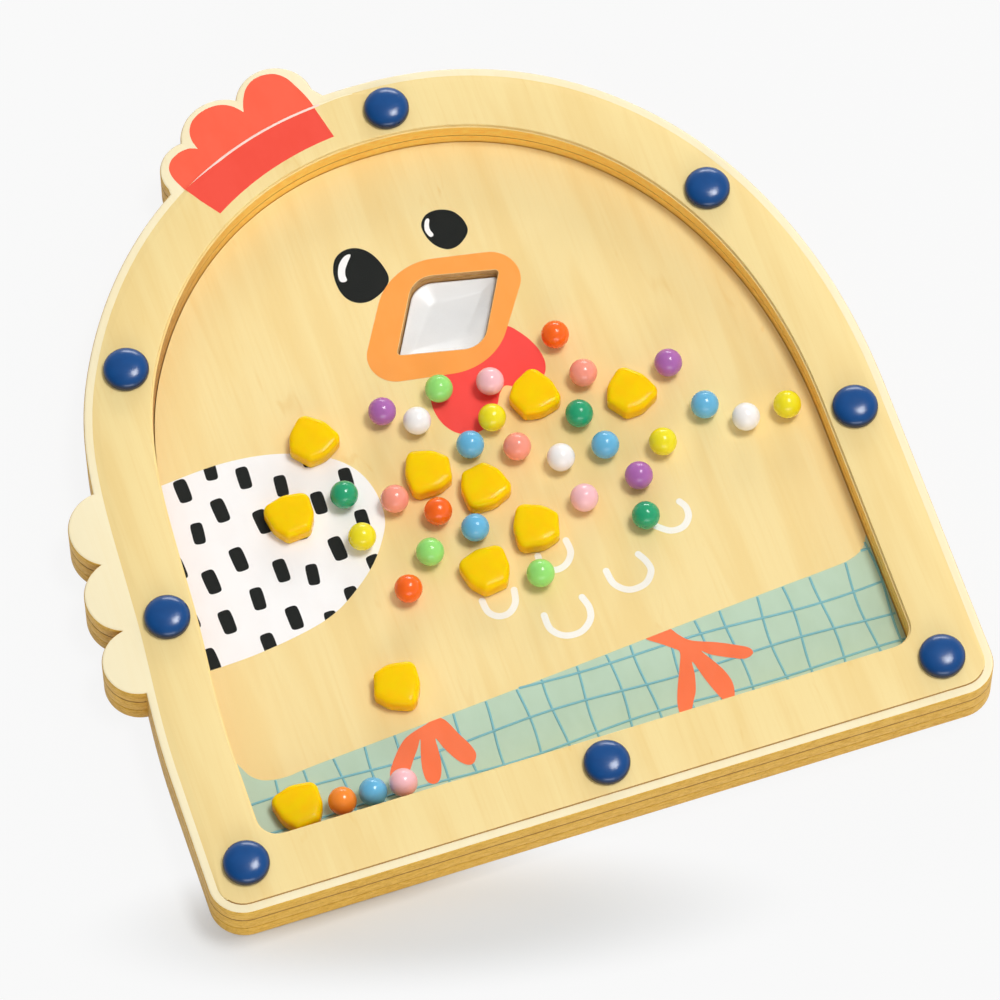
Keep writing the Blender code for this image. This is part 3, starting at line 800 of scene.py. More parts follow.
def make_layers():
    """Back board, middle ring, rim with its pocket, and the front frame, each with softened edges."""
    turns = board_turns(LOBES)
    turns = sorted(turns + notch_turns(RIM, LOBES, turns))
    rim = outline(RIM, turns, LOBES)
    opening = outline(OPENING, turns)
    pocket = outline(FRAME, turns)

    bm = bmesh.new()
    skinned(bm, rounded_rows(rim, 0.0, FOOT_ROUND, -1, 0) + top_rows(rim, BACK_TOP, JOINT_ROUND, 0, 0))
    for wood_face in bm.faces:
        if len(wood_face.verts) > 8 and wood_face.calc_center_median().z < 0.001:
            wood_face.material_index = 1
    back = placed("wood_back", bm, [EDGE_GOLD, BACK_WOOD])

    rows = rounded_rows(rim, MIDDLE_FLOOR, JOINT_ROUND, -1, 0) + top_rows(rim, MIDDLE_TOP, JOINT_ROUND, 2, 2)
    rows += [(opening, MIDDLE_TOP, 1), (opening, MIDDLE_FLOOR, 0)]
    middle = solid("wood_middle", rows, [EDGE_GOLD, WALL_GOLD, JOINT_AND_SHADOW_BROWN], ring=True)

    bottom = rounded_rows(rim, RIM_FLOOR, JOINT_ROUND, -1, 3)
    bottom[-1] = (bottom[-1][0], bottom[-1][1], 0)
    top = top_rows(rim, RIM_TOP, RIM_ROUND, 0, 1)
    rows = bottom + top[:2] + [(points, level, 1) for points, level, _ in top[2:]]
    rows += [
        (pocket, RIM_TOP, 2),
        (pocket, POCKET_LEVEL, 2),
        (opening, POCKET_LEVEL, 2),
        (opening, RIM_FLOOR, 0),
    ]
    rim_piece = solid("wood_rim", rows, [EDGE_GOLD, RIM_CREAM, WALL_GOLD, JOINT_AND_SHADOW_BROWN], ring=True)

    turns = board_turns()
    frame_edge = outline(grown(FRAME, FRAME_SEAT), turns)
    frame_opening = outline(OPENING, turns)
    rebate = outline(grown(OPENING, REBATE_WIDTH - SEAT_GAP + FRAME_SEAT), turns)
    bm = bmesh.new()
    rows = [(frame_edge, FRAME_FLOOR, 1), (frame_edge, RIM_TOP, 2)]
    for swing in QUARTER[1:]:
        insets = [edge_inset(turn, swing) for turn in turns]
        rows.append((moved_in(frame_edge, insets), RIM_TOP + (FACE - RIM_TOP) * math.sin(swing), 2))
    rows[-1] = (rows[-1][0], FACE, 0)
    rows += rounded_rows(rebate, FACE, LIP_ROUND, 1, 0, inner=True)
    rows += [(rebate, REBATE_FLOOR, 0), (frame_opening, REBATE_FLOOR, 1), (frame_opening, FRAME_FLOOR, 1)]
    skinned(bm, rows, ring=True)
    for wood_face in bm.faces:
        place = wood_face.calc_center_median()
        if wood_face.material_index != 2:
            continue
        turn = turn_to(place.x, place.y)
        # Over the comb: the pale bevel with a painted highlight.
        if COMB_EDGE_END < turn < COMB_EDGE_START:
            wood_face.material_index = 4
        # Along the lower side only, the frame's edge takes the brown of a painted shadow line.
        elif place.y < 2.4 * RIM_MARGIN and place.z < FACE - 0.00004:
            wood_face.material_index = 3
        # Just past the comb the edge keeps the rim's cream, the painted highlight fading out; elsewhere it takes the
        # face's wood.
        elif not COMB_EDGE_END - COMB_EDGE_TAIL < turn < COMB_EDGE_END:
            wood_face.material_index = 0
    front = placed("wood_frame", bm, [FACE_WOOD, WALL_GOLD, RIM_CREAM, JOINT_AND_SHADOW_BROWN, PALE_BEVEL_AND_HIGHLIGHT])

    bores = bore_tool()
    mouth = mouth_tool()
    for piece in (back, middle, rim_piece, front):
        carved(piece, bores, "DIFFERENCE", "TRANSFER")
    carved(back, mouth, "DIFFERENCE", "TRANSFER")
    for tool in (bores, mouth):
        bpy.data.objects.remove(tool, do_unlink=True)
    for piece, node, slot in (
        (back, "back_board", "side_wood"),
        (middle, "middle_ring", "side_wood"),
        (rim_piece, "rim_ring", "rim_wood"),
        (front, "front_frame", "front_wood"),
    ):
        fitted(piece, "board", slot, node)


# The picture panel and its prints

SHEET = grown(OPENING, -SEAT_GAP)
SHEET_CORNER = 0.003


def panel_border():
    """The panel's outline, one point for each degree, and finer steps at its lower corners."""
    turns = [math.radians(step - 270) for step in range(360)]
    corner = math.degrees(turn_to(SHEET["half"] - SHEET_CORNER, SHEET["bottom"] + SHEET_CORNER))
    for middle in (corner, -180 - corner):
        turns += [math.radians(middle + 0.25 * step) for step in range(-16, 17)]
    return outline(SHEET, thinned(turns, math.radians(0.08)))


def reach_polygon(border, start, turn):
    """How far a ray from start inside a convex outline goes to its border."""
    x, y = start
    dx, dy = math.cos(turn), math.sin(turn)
    best = 1.0
    for (ax, ay), (bx, by) in edges(border):
        ex, ey = bx - ax, by - ay
        cross = dx * ey - dy * ex
        if abs(cross) < PARALLEL:
            continue
        along = ((ax - x) * ey - (ay - y) * ex) / cross
        share = ((ax - x) * dy - (ay - y) * dx) / cross
        if along > 0 and -SLACK <= share <= 1 + SLACK:
            best = min(best, along)
    return best


def make_panel(border):
    """The picture panel: bare wood with the mouth's hole, whose upper edge is softened."""
    start = tray_point(*MOUTH_PLACE)
    turns = []
    for x, y in border + mouth_hull():
        turns.append(math.atan2(y - start[1], x - start[0]))
    turns = thinned(turns, MOUTH_LEAST_TURN)

    def seen_from_mouth(shape):
        return [at_reach(turn, reach_polygon(shape, start, turn), start) for turn in turns]

    outer = seen_from_mouth(border)
    hole = seen_from_mouth(mouth_hull())
    rows = [(outer, PANEL_FLOOR, 0), (outer, TRAY_FLOOR, 0)]
    for turn in QUARTER:
        grow = HOLE_ROUND * (1 - math.sin(turn))
        level = TRAY_FLOOR - HOLE_ROUND * (1 - math.cos(turn))
        rows.append((seen_from_mouth(mouth_hull(grow)), level, 1 if turn else 0))
    rows.append((hole, PANEL_FLOOR, 0))
    panel = solid("picture_board", rows, [PANEL_WOOD, HOLE_BROWN], ring=True)
    fitted(panel, "board", "panel_wood", "picture_panel")


def printed(name, shapes, level, material, slot="panel_wood"):
    """Ink laid on the wood: each shape is an outline, raised by the thickness of the ink."""
    bm = bmesh.new()
    for points in shapes:
        skinned(bm, [(points, level, 0), (points, level + INK, 0)])
    bm.normal_update()
    bmesh.ops.triangulate(bm, faces=[face for face in bm.faces if len(face.verts) > 4])
    return fitted(placed(name, bm, [material]), "board", slot)


def millimetres(*pairs):
    return [(x / 1000, y / 1000) for x, y in pairs]


def anticlockwise(points):
    area = sum(ax * by - bx * ay for (ax, ay), (bx, by) in edges(points))
    return points if area > 0 else points[::-1]


LEFT_EYE = (
    (-23.7, 203.8), (-21.9, 207.6), (-18.9, 209.5), (-15.4, 209.6), (-12.2, 207.9), (-9.9, 204.9), (-8.5, 201.3),
    (-7.8, 197.6), (-8.2, 195.1), (-9.9, 193.0), (-12.7, 191.2), (-16.0, 190.1), (-19.2, 190.4), (-21.9, 192.2),
    (-23.6, 195.2), (-24.2, 199.4),
)
RIGHT_EYE = (
    (7.5, 210.4), (9.3, 213.1), (12.0, 214.2), (15.2, 213.9), (18.3, 212.3), (20.3, 209.4), (21.1, 206.1),
    (20.7, 203.8), (19.0, 201.8), (16.2, 200.0), (13.2, 199.7), (10.6, 201.2), (8.7, 203.7), (7.6, 206.9),
)
LEFT_GLINT = (
    (-16.8, 207.4), (-18.3, 205.4), (-19.8, 203.3), (-20.5, 201.3), (-20.6, 199.3), (-21.9, 199.0), (-22.8, 199.9),
    (-22.6, 202.3), (-21.3, 205.3), (-19.3, 207.3), (-17.6, 207.9),
)
RIGHT_GLINT = (
    (10.3, 212.2), (10.5, 211.4), (9.9, 209.9), (9.7, 208.1), (10.2, 206.3), (9.5, 205.6), (8.7, 206.1), (8.1, 208.2),
    (8.5, 210.3), (9.4, 211.9),
)
WATTLE = (
    (17.0, 167.0), (21.6, 168.3), (24.6, 165.4), (27.1, 161.4), (28.8, 156.8), (29.1, 152.2), (27.4, 148.3),
    (23.4, 146.3), (18.6, 146.6), (15.0, 148.6), (12.5, 146.8), (10.7, 143.6), (8.4, 139.4), (4.7, 136.6),
    (-0.4, 135.9), (-4.6, 137.7), (-7.4, 141.2), (-8.8, 145.6), (-8.9, 150.4), (-7.2, 156.0), (-4.6, 160.4),
    (2.0, 161.4), (10.0, 162.0),
)


def make_face_print():
    """Eyes with their catchlights, the beak round the mouth, and the wattle below it."""
    drawings = (
        ("eyes", (LEFT_EYE, RIGHT_EYE), FIRST_INK, INK_BLACK),
        ("eye_glints", (LEFT_GLINT, RIGHT_GLINT), SECOND_INK, INK_WHITE),
        ("wattle", (WATTLE,), FIRST_INK, INK_RED),
    )
    for name, shapes, level, ink in drawings:
        printed(name, [anticlockwise(spline(millimetres(*shape), 6)) for shape in shapes], level, ink)

    circles = [
        (-0.0142, 0.1693, 0.0091),
        (0.0221, 0.1856, 0.0096),
        (0.0, 0.1818, 0.0147),
        (0.0039, 0.1779, 0.0205),
    ]
    outer = hull_outline(circles, MOUTH_SIDES)
    inner = mouth_hull(HOLE_ROUND)
    rows = [
        (outer, SECOND_INK, 0),
        (outer, SECOND_INK + INK, 0),
        (inner, SECOND_INK + INK, 0),
        (inner, SECOND_INK, 0),
    ]
    fitted(solid("beak", rows, [INK_ORANGE], ring=True), "board", "panel_wood")


DASH_COLUMNS = 9
DASH_ROWS = 6
DASH_START = (-0.1012, 0.1520)
DASH_ACROSS = 0.0099
DASH_ALONG = 0.0162
DASH_SWAY = 0.0022
DASH_DRIFT = (0.0010, 0.0012)
DASH = (
    (-2.0, -2.8), (-2.1, 0.2), (-2.05, 2.8), (-1.5, 3.8), (0.5, 4.0), (1.7, 3.6), (2.1, 2.0), (2.1, -1.6), (1.9, -3.4),
    (1.1, -4.0), (-0.8, -4.0), (-1.7, -3.6),
)
WING = (
    (-112, 147.6), (-97, 149.2), (-78, 150.6), (-62, 148.9), (-48.5, 144.1), (-39.6, 137.3), (-35.2, 128.0),
    (-34.9, 117.2), (-38.8, 108.8), (-44.8, 101.4), (-53.6, 94.3), (-61.6, 90.0), (-71.9, 87.3), (-86, 85.2),
    (-100.1, 84.4), (-112, 84.4),
)


def make_wing(border):
    """The white wing on the tray's left side, with short brush dashes in staggered columns."""
    outline_points = anticlockwise(spline(millimetres(*WING), 8, closed=False))
    wing = printed("wing", [outline_points], FIRST_INK, INK_WHITE)
    keep_inside(wing, border)

    draw = random.Random(5)
    spots = []
    for column in range(DASH_COLUMNS):
        for row in range(DASH_ROWS):
            x = DASH_START[0] + DASH_ACROSS * column + draw.uniform(-DASH_DRIFT[0], DASH_DRIFT[0])
            y = DASH_START[1] - DASH_ALONG * (row + 0.5 * (column % 2)) + DASH_SWAY * math.sin(1.9 * column)
            spots.append((x, y + draw.uniform(-DASH_DRIFT[1], DASH_DRIFT[1]), SECOND_INK))
    dash = anticlockwise(spline(millimetres(*DASH), 5))
    stamp = solid("dash_stamp", [(dash, 0.0, 0), (dash, INK, 0)], [INK_BLACK])
    tree = stamping_tree("dash_stamping", spin=math.radians(7), least=0.90, most=1.08)
    dashes = stamped("wing_dashes", spots, stamp, tree, 11)
    keep_inside(dashes, outline_points)
    keep_inside(dashes, border)
    fitted(dashes, "board", "panel_wood")


def keep_inside(piece, edge):
    """Cuts a flat print off at an outline."""
    tall = 0.001
    tool = solid("print_edge", [(edge, SECOND_INK - tall, 0), (edge, SECOND_INK + tall, 0)], [])
    carved(piece, tool, "INTERSECT", "INDEX")
    bpy.data.objects.remove(tool, do_unlink=True)


def new_tree(name, sizes, sockets):
    """A Geometry Nodes tree with inputs for a mesh, a material, other sockets and named sizes."""
    tree = bpy.data.node_groups.new(name, "GeometryNodeTree")
    tree.interface.new_socket("Result", in_out="OUTPUT", socket_type="NodeSocketGeometry")
    for label, kind in {"Mesh": "Geometry", "Material": "Material", **sockets}.items():
        tree.interface.new_socket(label, in_out="INPUT", socket_type="NodeSocket" + kind)
    for label, value in sizes.items():
        tree.interface.new_socket(label, in_out="INPUT", socket_type="NodeSocketFloat").default_value = value
    return tree, added(tree, "NodeGroupInput", {}).outputs


def closed_tree(tree, pieces, material):
    """Ends a tree: what it made becomes real mesh of one material."""
    real = added(tree, "GeometryNodeRealizeInstances", {"Geometry": pieces}).outputs["Geometry"]
    finish = added(tree, "GeometryNodeSetMaterial", {"Geometry": real, "Material": material})
    added(tree, "NodeGroupOutput", {0: finish.outputs["Geometry"]})
    return tree


def worked(piece, tree, **inputs):
    """Runs a tree on a piece with the inputs given, and leaves plain mesh."""
    modifier = piece.modifiers.new(tree.name, "NODES")
    modifier.node_group = tree
    sockets = {item.name: item.identifier for item in tree.interface.items_tree if item.in_out == "INPUT"}
    for name, value in inputs.items():
        modifier[sockets[name]] = value
    return applied(piece)


def stamping_tree(name, spin, least, most):
    """Nodes that set one shape on every point, turned and sized a little differently by a fixed seed."""
    sizes = {"Spin": spin, "Least size": least, "Most size": most}
    tree, given = new_tree(name, sizes, {"Shape": "Object", "Seed": "Int"})
    source = added(tree, "GeometryNodeObjectInfo", {"Object": given["Shape"]}).outputs["Geometry"]

    def drawn(low, high):
        feeds = {2: low, 3: high, "Seed": given["Seed"]}
        return added(tree, "FunctionNodeRandomValue", feeds, data_type="FLOAT").outputs[1]

    size = drawn(given["Least size"], given["Most size"])
    angle = drawn(calculated(tree, "MULTIPLY", given["Spin"], -1.0), given["Spin"])
    about = added(tree, "ShaderNodeCombineXYZ", {"Z": angle}).outputs["Vector"]
    flat = added(tree, "ShaderNodeCombineXYZ", {"X": size, "Y": size, "Z": 1.0}).outputs["Vector"]
    feeds = {"Points": given["Mesh"], "Instance": source, "Rotation": about, "Scale": flat}
    stamps = added(tree, "GeometryNodeInstanceOnPoints", feeds).outputs["Instances"]
    return closed_tree(tree, stamps, given["Material"])


def stamped(name, spots, stamp, tree, seed):
    """Sets the stamp on every spot by the tree, and removes the stamp itself."""
    bm = bmesh.new()
    for spot in spots:
        bm.verts.new(spot)
    points = placed(name, bm, [])
    stamp.data.transform(Matrix.Translation(-SHIFT))
    made = worked(points, tree, Shape=stamp, Material=stamp.data.materials[0], Seed=seed)
    bpy.data.objects.remove(stamp, do_unlink=True)
    return made


# Floor band, feet and feather marks

GROUND_LINE = (
    (-112, 62), (-104.6, 54.5), (-102.6, 50.6), (-100.4, 46.6), (-96.5, 44.0), (-90.0, 43.2), (-80, 44.2), (-40, 47.1),
    (0, 50.2), (36, 53.2), (70, 55.9), (88, 57.2), (96.4, 58.2), (101.5, 60.8), (104.6, 65.6), (112, 74),
)
CHECK_PITCH = 0.0099
CHECK_RISE = 0.0106
CHECK_WIDTH = 0.00078
CHECK_BOTTOM = 0.0272
LEFT_FOOT = (
    (-51.5, 44.3), (-45.9, 46.1), (-39.7, 47.0), (-36.0, 39.8), (-34.1, 35.9), (-33.3, 32.8), (-33.9, 30.8),
    (-35.2, 29.5), (-36.8, 29.6), (-38.5, 31.0), (-40.1, 33.3), (-42.0, 37.2), (-43.4, 41.0), (-43.8, 36.7),
    (-44.3, 32.9), (-45.4, 29.4), (-46.9, 27.2), (-48.8, 26.9), (-50.3, 28.4), (-50.5, 31.5), (-49.9, 35.2),
    (-49.0, 38.5), (-47.9, 42.3), (-49.7, 39.5), (-51.8, 36.7), (-54.5, 32.8), (-56.8, 30.1), (-58.8, 29.9),
    (-60.3, 31.5), (-60.3, 33.9), (-59.2, 36.1), (-57.1, 39.0), (-54.5, 42.0),
)
RIGHT_FOOT = (
    (28.0, 52.8), (31.8, 54.3), (35.4, 54.5), (38.1, 50.6), (41.1, 47.6), (48.2, 44.6), (53.7, 41.8), (57.0, 39.8),
    (57.8, 38.0), (56.6, 36.9), (54.3, 36.7), (51.5, 37.9), (47.7, 39.8), (45.0, 41.4), (42.9, 43.2), (45.4, 38.8),
    (47.3, 35.1), (48.4, 31.2), (48.2, 27.7), (46.9, 24.6), (44.8, 24.4), (43.6, 26.1), (42.2, 29.7), (40.7, 34.6),
    (39.1, 40.7), (38.4, 36.3), (37.0, 31.4), (35.3, 28.4), (33.2, 25.2), (30.1, 24.9), (30.1, 28.4), (31.7, 33.2),
    (34.4, 39.4), (36.5, 44.8), (34.8, 47.0), (31.7, 49.6),
)


def make_ground(border):
    """The sage green ground below the hen's body, with its wavy check of thin blue lines."""
    body_line = spline(millimetres(*GROUND_LINE), 8, closed=False)
    band = anticlockwise(body_line + millimetres((112, 0), (-112, 0)))
    ground = printed("ground", [band], FIRST_INK, INK_SAGE)
    keep_inside(ground, border)

    def on_ground(x, y):
        return inside_outline(band, x, y) and inside_outline(border, x, y)

    paths = []
    for number in range(-11, 11):
        path = []
        for step in range(130):
            y = 0.020 + 0.0004 * step
            sway = 0.0007 * math.sin(y * 150 + number * 1.9) + 0.0008 * math.sin(number * 2.3)
            path.append((CHECK_PITCH * (number + 0.45) + sway, y))
        paths += [(run, SECOND_INK + INK / 2) for run in stretches(path, on_ground)]
    for number in range(4):
        path = []
        for step in range(440):
            x = -0.110 + 0.0005 * step
            sway = 0.0007 * math.sin(x * 80 + number * 2.1) + 0.0006 * math.sin(x * 37 + number)
            path.append((x, CHECK_BOTTOM + CHECK_RISE * number + sway))
        paths += [(run, SECOND_INK + 3 * INK / 2) for run in stretches(path, on_ground)]
    drawn_lines("check_lines", paths, INK_BLUE)

    feet = [anticlockwise(spline(millimetres(*foot), 6)) for foot in (LEFT_FOOT, RIGHT_FOOT)]
    feet = printed("feet", feet, SECOND_INK + 2 * INK, INK_CORAL)
    keep_inside(feet, band)
    keep_inside(feet, border)


def stretches(path, inside):
    """The stretches of a path that lie inside a region."""
    runs = [[]]
    for x, y in path:
        if inside(x, y):
            runs[-1].append((x, y))
        elif runs[-1]:
            runs.append([])
    return [run for run in runs if len(run) > 4]


def drawn_lines(name, paths, material):
    """Draws a flat ribbon along each path with Geometry Nodes."""
    bm = bmesh.new()
    for run, level in paths:
        spots = [bm.verts.new((x, y, level)) for x, y in run]
        for first, second in zip(spots, spots[1:]):
            bm.edges.new((first, second))
    lines = placed(name, bm, [])
    sizes = {"Width": CHECK_WIDTH, "Thickness": INK}
    tree, given = new_tree("ribbon_drawing", sizes, {})
    curve = added(tree, "GeometryNodeMeshToCurve", {"Mesh": given["Mesh"]}).outputs["Curve"]
    upright = added(tree, "GeometryNodeSetCurveNormal", {"Curve": curve}, mode="Z_UP").outputs["Curve"]
    feeds = {"Width": given["Width"], "Height": given["Thickness"]}
    section = added(tree, "GeometryNodeCurvePrimitiveQuadrilateral", feeds).outputs["Curve"]
    feeds = {"Curve": upright, "Profile Curve": section, "Fill Caps": True}
    swept = added(tree, "GeometryNodeCurveToMesh", feeds).outputs["Mesh"]
    worked(lines, closed_tree(tree, swept, given["Material"]), Material=material)
    fitted(lines, "board", "panel_wood")


FEATHER_BRUSH = 0.00105
FEATHERS = (
    ((-15.4, 80.6), (-14.8, 76.4), (-12.2, 74.0), (-8.7, 74.1), (-5.9, 76.8), (-4.9, 81.0)),
    ((5.7, 89.7), (6.0, 85.6), (9.6, 83.4), (13.3, 84.4), (15.7, 87.7), (15.6, 92.0)),
    ((1.1, 69.9), (1.5, 64.8), (5.0, 61.4), (10.1, 61.1), (14.0, 64.0), (15.1, 68.0), (14.1, 72.1)),
    ((24.0, 78.2), (24.9, 73.2), (28.7, 69.9), (34.0, 70.3), (37.1, 73.8), (36.8, 77.3), (35.2, 80.5)),
    ((43.4, 87.9), (47.2, 85.0), (51.3, 85.0), (54.0, 87.6), (54.4, 91.0), (53.1, 93.6)),
)


def make_feathers():
    """Five white U marks on the hen's breast, drawn with a round brush."""
    shapes = []
    for marks in FEATHERS:
        path = [Vector(place) for place in spline(millimetres(*marks), 8, closed=False)]
        shapes.append(brush_stroke(path, FEATHER_BRUSH))
    printed("feather_marks", shapes, FIRST_INK, INK_CREAM)


def brush_stroke(path, radius):
    """The outline of a stroke of a round brush along a path."""
    left = []
    right = []
    for i, here in enumerate(path):
        ahead = (path[min(i + 1, len(path) - 1)] - path[max(i - 1, 0)]).normalized()
        side = Vector((-ahead.y, ahead.x))
        left.append(here + side * radius)
        right.append(here - side * radius)
    turns = [math.pi * step / 8 for step in range(1, 8)]
    ends = []
    for place, before in ((path[-1], path[-2]), (path[0], path[1])):
        out = (place - before).normalized()
        side = Vector((-out.y, out.x))
        ends.append([place + side * radius * math.cos(turn) + out * radius * math.sin(turn) for turn in turns])
    loop = left + ends[0] + right[::-1] + ends[1]
    return anticlockwise([tuple(place) for place in loop])


# The comb's print

COMB_LOBES = (
    (
        (-60.2, 240.6), (-62.0, 244.4), (-62.9, 247.4), (-62.7, 250.2), (-61.0, 252.6), (-58.0, 254.2), (-54.7, 254.6),
        (-52.1, 253.6),
    ),
    (
        (-52.1, 253.6), (-53.0, 256.9), (-52.7, 260.6), (-50.5, 264.0), (-46.3, 266.2), (-41.5, 266.6), (-37.6, 265.0),
        (-34.5, 261.7),
    ),
    (
        (-34.5, 261.7), (-33.4, 265.6), (-31.5, 269.2), (-28.6, 271.6), (-24.9, 272.4), (-21.0, 271.6), (-18.0, 269.0),
        (-15.8, 264.8), (-14.0, 260.6), (-13.1, 257.6),
    ),
)
COMB_BASE_LEFT = ((-60.2, 240.6), (-56.6, 235.0), (-52.4, 229.2))
COMB_BASE_RIGHT = ((-10.2, 244.1), (-11.7, 250.6), (-13.1, 257.6))
COMB_STEPS = 160
COMB_ARC_STEPS = 80
COMB_FADE = 0.30


def make_comb_print():
    """Red on the comb: lighter on the rim's lobes, deeper on the frame, with the frame's pale edge between, the bare
    bevel with a painted highlight along it.
    """
    start = turn_to(*millimetres(COMB_BASE_LEFT[0])[0])
    end = turn_to(*millimetres(COMB_BASE_RIGHT[-1])[0])
    shares = [step / COMB_STEPS for step in range(COMB_STEPS + 1)]
    turns = [start + (end - start) * share for share in shares]
    widths = [min(share / COMB_FADE, 1.0) for share in shares]
    seam = []
    edge = []
    for turn, width in zip(turns, widths):
        seam.append(at_reach(turn, arch_reach(FRAME, turn) + 0.00002 + 0.00004 * width))
        edge.append(at_reach(turn, arch_reach(FRAME, turn) - 0.00006 - (FRAME_ROUND + COMB_EDGE_MORE) * width))
    lobes = []
    for lobe in COMB_LOBES:
        lobes += spline(millimetres(*lobe), 8, closed=False)[:-1]
    lobes = [point for point in lobes if from_hub(*point) > arch_reach(FRAME, turn_to(*point)) + 0.0003]
    printed("comb_lobes", [anticlockwise(lobes + seam[::-1])], RIM_TOP, INK_COMB, "rim_wood")

    first, last = millimetres(COMB_BASE_LEFT[-1], COMB_BASE_RIGHT[0])
    low = turn_to(*first)
    high = turn_to(*last)
    margins = [from_hub(*point) - arch_reach(OPENING, turn_to(*point)) for point in (first, last)]
    arc = []
    for step in range(COMB_ARC_STEPS + 1):
        share = step / COMB_ARC_STEPS
        turn = low + (high - low) * share
        margin = margins[0] * (1 - share) + margins[1] * share
        arc.append(at_reach(turn, arch_reach(OPENING, turn) + margin))
    left = millimetres(*COMB_BASE_LEFT[1:-1])
    right = millimetres(*COMB_BASE_RIGHT[1:-1])
    base = anticlockwise(edge[::-1] + left + arc + right)
    printed("comb_base", [base], FACE, INK_COMB_DEEP, "front_wood")


# Dish, rivets and loose pieces


def make_dish():
    """The white dish in the mouth: a thin brim, walls that ease into the floor."""
    rim = mouth_hull(-SEAT_GAP, 120)
    x = sum(point[0] for point in rim) / len(rim)
    y = sum(point[1] for point in rim) / len(rim)

    def drawn(inset):
        points = []
        for px, py in rim:
            reach = math.hypot(px - x, py - y)
            share = max(reach - inset, reach * 0.05) / reach
            points.append((x + (px - x) * share, y + (py - y) * share))
        return points

    rows = [(drawn(0.0003), DISH_FLOOR, 0), (rim, DISH_FLOOR + 0.0003, 0)]
    rows += [(rim, DISH_TOP - 0.0002, 0), (drawn(0.0002), DISH_TOP, 0)]
    depth = DISH_TOP - DISH_HOLLOW
    for inset, share in ((0.0005, 0.0), (0.0009, 0.05), (0.0034, 0.47), (0.0058, 0.88), (0.0064, 0.96), (0.0072, 1.0)):
        rows.append((drawn(inset), DISH_TOP - depth * share, 0))
    fitted(solid("dish", rows, [DISH_WHITE], sharp=ROUND_SHARP_TURN), "board", "dish_white", "mouth_cup")


def cap_profile():
    """Half section of a rivet, from the shank's tip up to the crown of its cap."""
    seat = FACE + SEAT_GAP
    shank = SHANK_TIP - seat
    profile = [(0, shank), (SHANK_RADIUS - 0.0004, shank), (SHANK_RADIUS, shank + 0.0004), (SHANK_RADIUS, 0.0)]
    profile += [(CAP_RADIUS - 0.0003, 0.0), (CAP_RADIUS, 0.0002), (CAP_RADIUS, CAP_SKIRT)]
    steps = 16
    for step in range(1, steps):
        turn = math.pi / 2 * step / steps
        level = CAP_SKIRT + (CAP_HEIGHT - CAP_SKIRT) * math.sin(turn)
        profile.append((CAP_RADIUS * math.cos(turn) ** CAP_FULLNESS, level))
    profile.append((0, CAP_HEIGHT))
    return profile


def make_rivets():
    """Eight blue rivets, one stamped on each point along the middle of the frame's band."""
    bm = bmesh.new()
    lathe(bm, cap_profile(), CAP_SIDES)
    cap = placed("rivet_form", bm, [CAP_BLUE], CAP_SHARP_TURN)
    tree = stamping_tree("rivet_setting", spin=math.pi, least=1.0, most=1.0)
    rivets = stamped("blue_rivets", [(x, y, FACE + SEAT_GAP) for x, y in rivet_places()], cap, tree, 3)
    fitted(rivets, "board", "cap_blue", *[f"cap_rivet_{number}" for number in range(1, 9)])


def make_beads():
    """Each bead is a moulded ball with the faint seam of its mould, turned its own way."""
    draw = random.Random(21)
    profile = []
    for step in range(BEAD_RINGS + 1):
        turn = math.pi * step / BEAD_RINGS
        swell = SEAM_HEIGHT if step == BEAD_RINGS // 2 else 0.0
        width = 0 if step in (0, BEAD_RINGS) else (BEAD_RADIUS - SEAM_HEIGHT + swell) * math.sin(turn)
        profile.append((width, -(BEAD_RADIUS - SEAM_HEIGHT) * math.cos(turn)))
    for node in sorted(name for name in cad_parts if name.startswith("bead_")):
        low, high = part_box(node)
        color = node[5:].rsplit("_", 1)[0]
        turn = Matrix.Rotation(draw.uniform(0.2, 1.2), 3, "X") @ Matrix.Rotation(draw.uniform(0, 6), 3, "Z")
        turn = Matrix.Rotation(draw.uniform(0, 6), 3, "Z") @ turn
        bm = bmesh.new()
        lathe(bm, profile, BEAD_SIDES, (low + high) / 2 - SHIFT, turn)
        bead = placed("ball_" + node[5:], bm, [BEAD_FINISHES[color]], ROUND_SHARP_TURN)
        fitted(bead, node, color, node)


def kernel_rows():
    """A corn kernel with its crown towards +X: soft lower edge, upright sides and a domed top."""
    base = KERNEL_BASE / 2
    crown = KERNEL_CROWN / 2
    half = KERNEL_LENGTH / 2
    base_x = KERNEL_BASE_ROUND - half
    base_y = base - KERNEL_BASE_ROUND
    crown_y = crown - KERNEL_CROWN_ROUND
    circles = [
        (base_x, base_y, KERNEL_BASE_ROUND),
        (base_x, -base_y, KERNEL_BASE_ROUND),
        (KERNEL_SHOULDER, crown_y, KERNEL_CROWN_ROUND),
        (KERNEL_SHOULDER, -crown_y, KERNEL_CROWN_ROUND),
        (0, 0, half),
    ]
    rows = []
    outer = hull_outline(circles, KERNEL_SIDES)
    sections = [(0.0004, 0.0), (0.0001, 0.00012), (0.0, 0.0005), (0.0, 0.0040), (0.00010, 0.0045), (0.0003, 0.0049)]
    sections += [(0.0006, 0.00522), (0.0010, 0.00546), (0.0015, 0.00562), (0.0022, 0.00573), (0.0030, 0.00581)]
    sections += [(0.0041, 0.00587), (0.0054, 0.00592), (0.0066, 0.00594)]
    for inset, level in sections:
        if inset < KERNEL_DOME_INSET:
            points = hull_outline([(x, y, radius - inset) for x, y, radius in circles], KERNEL_SIDES)
        else:
            points = [(x * (1 - inset / half), y * (1 - inset / half)) for x, y in outer]
        rows.append((points, level, 0))
    return rows


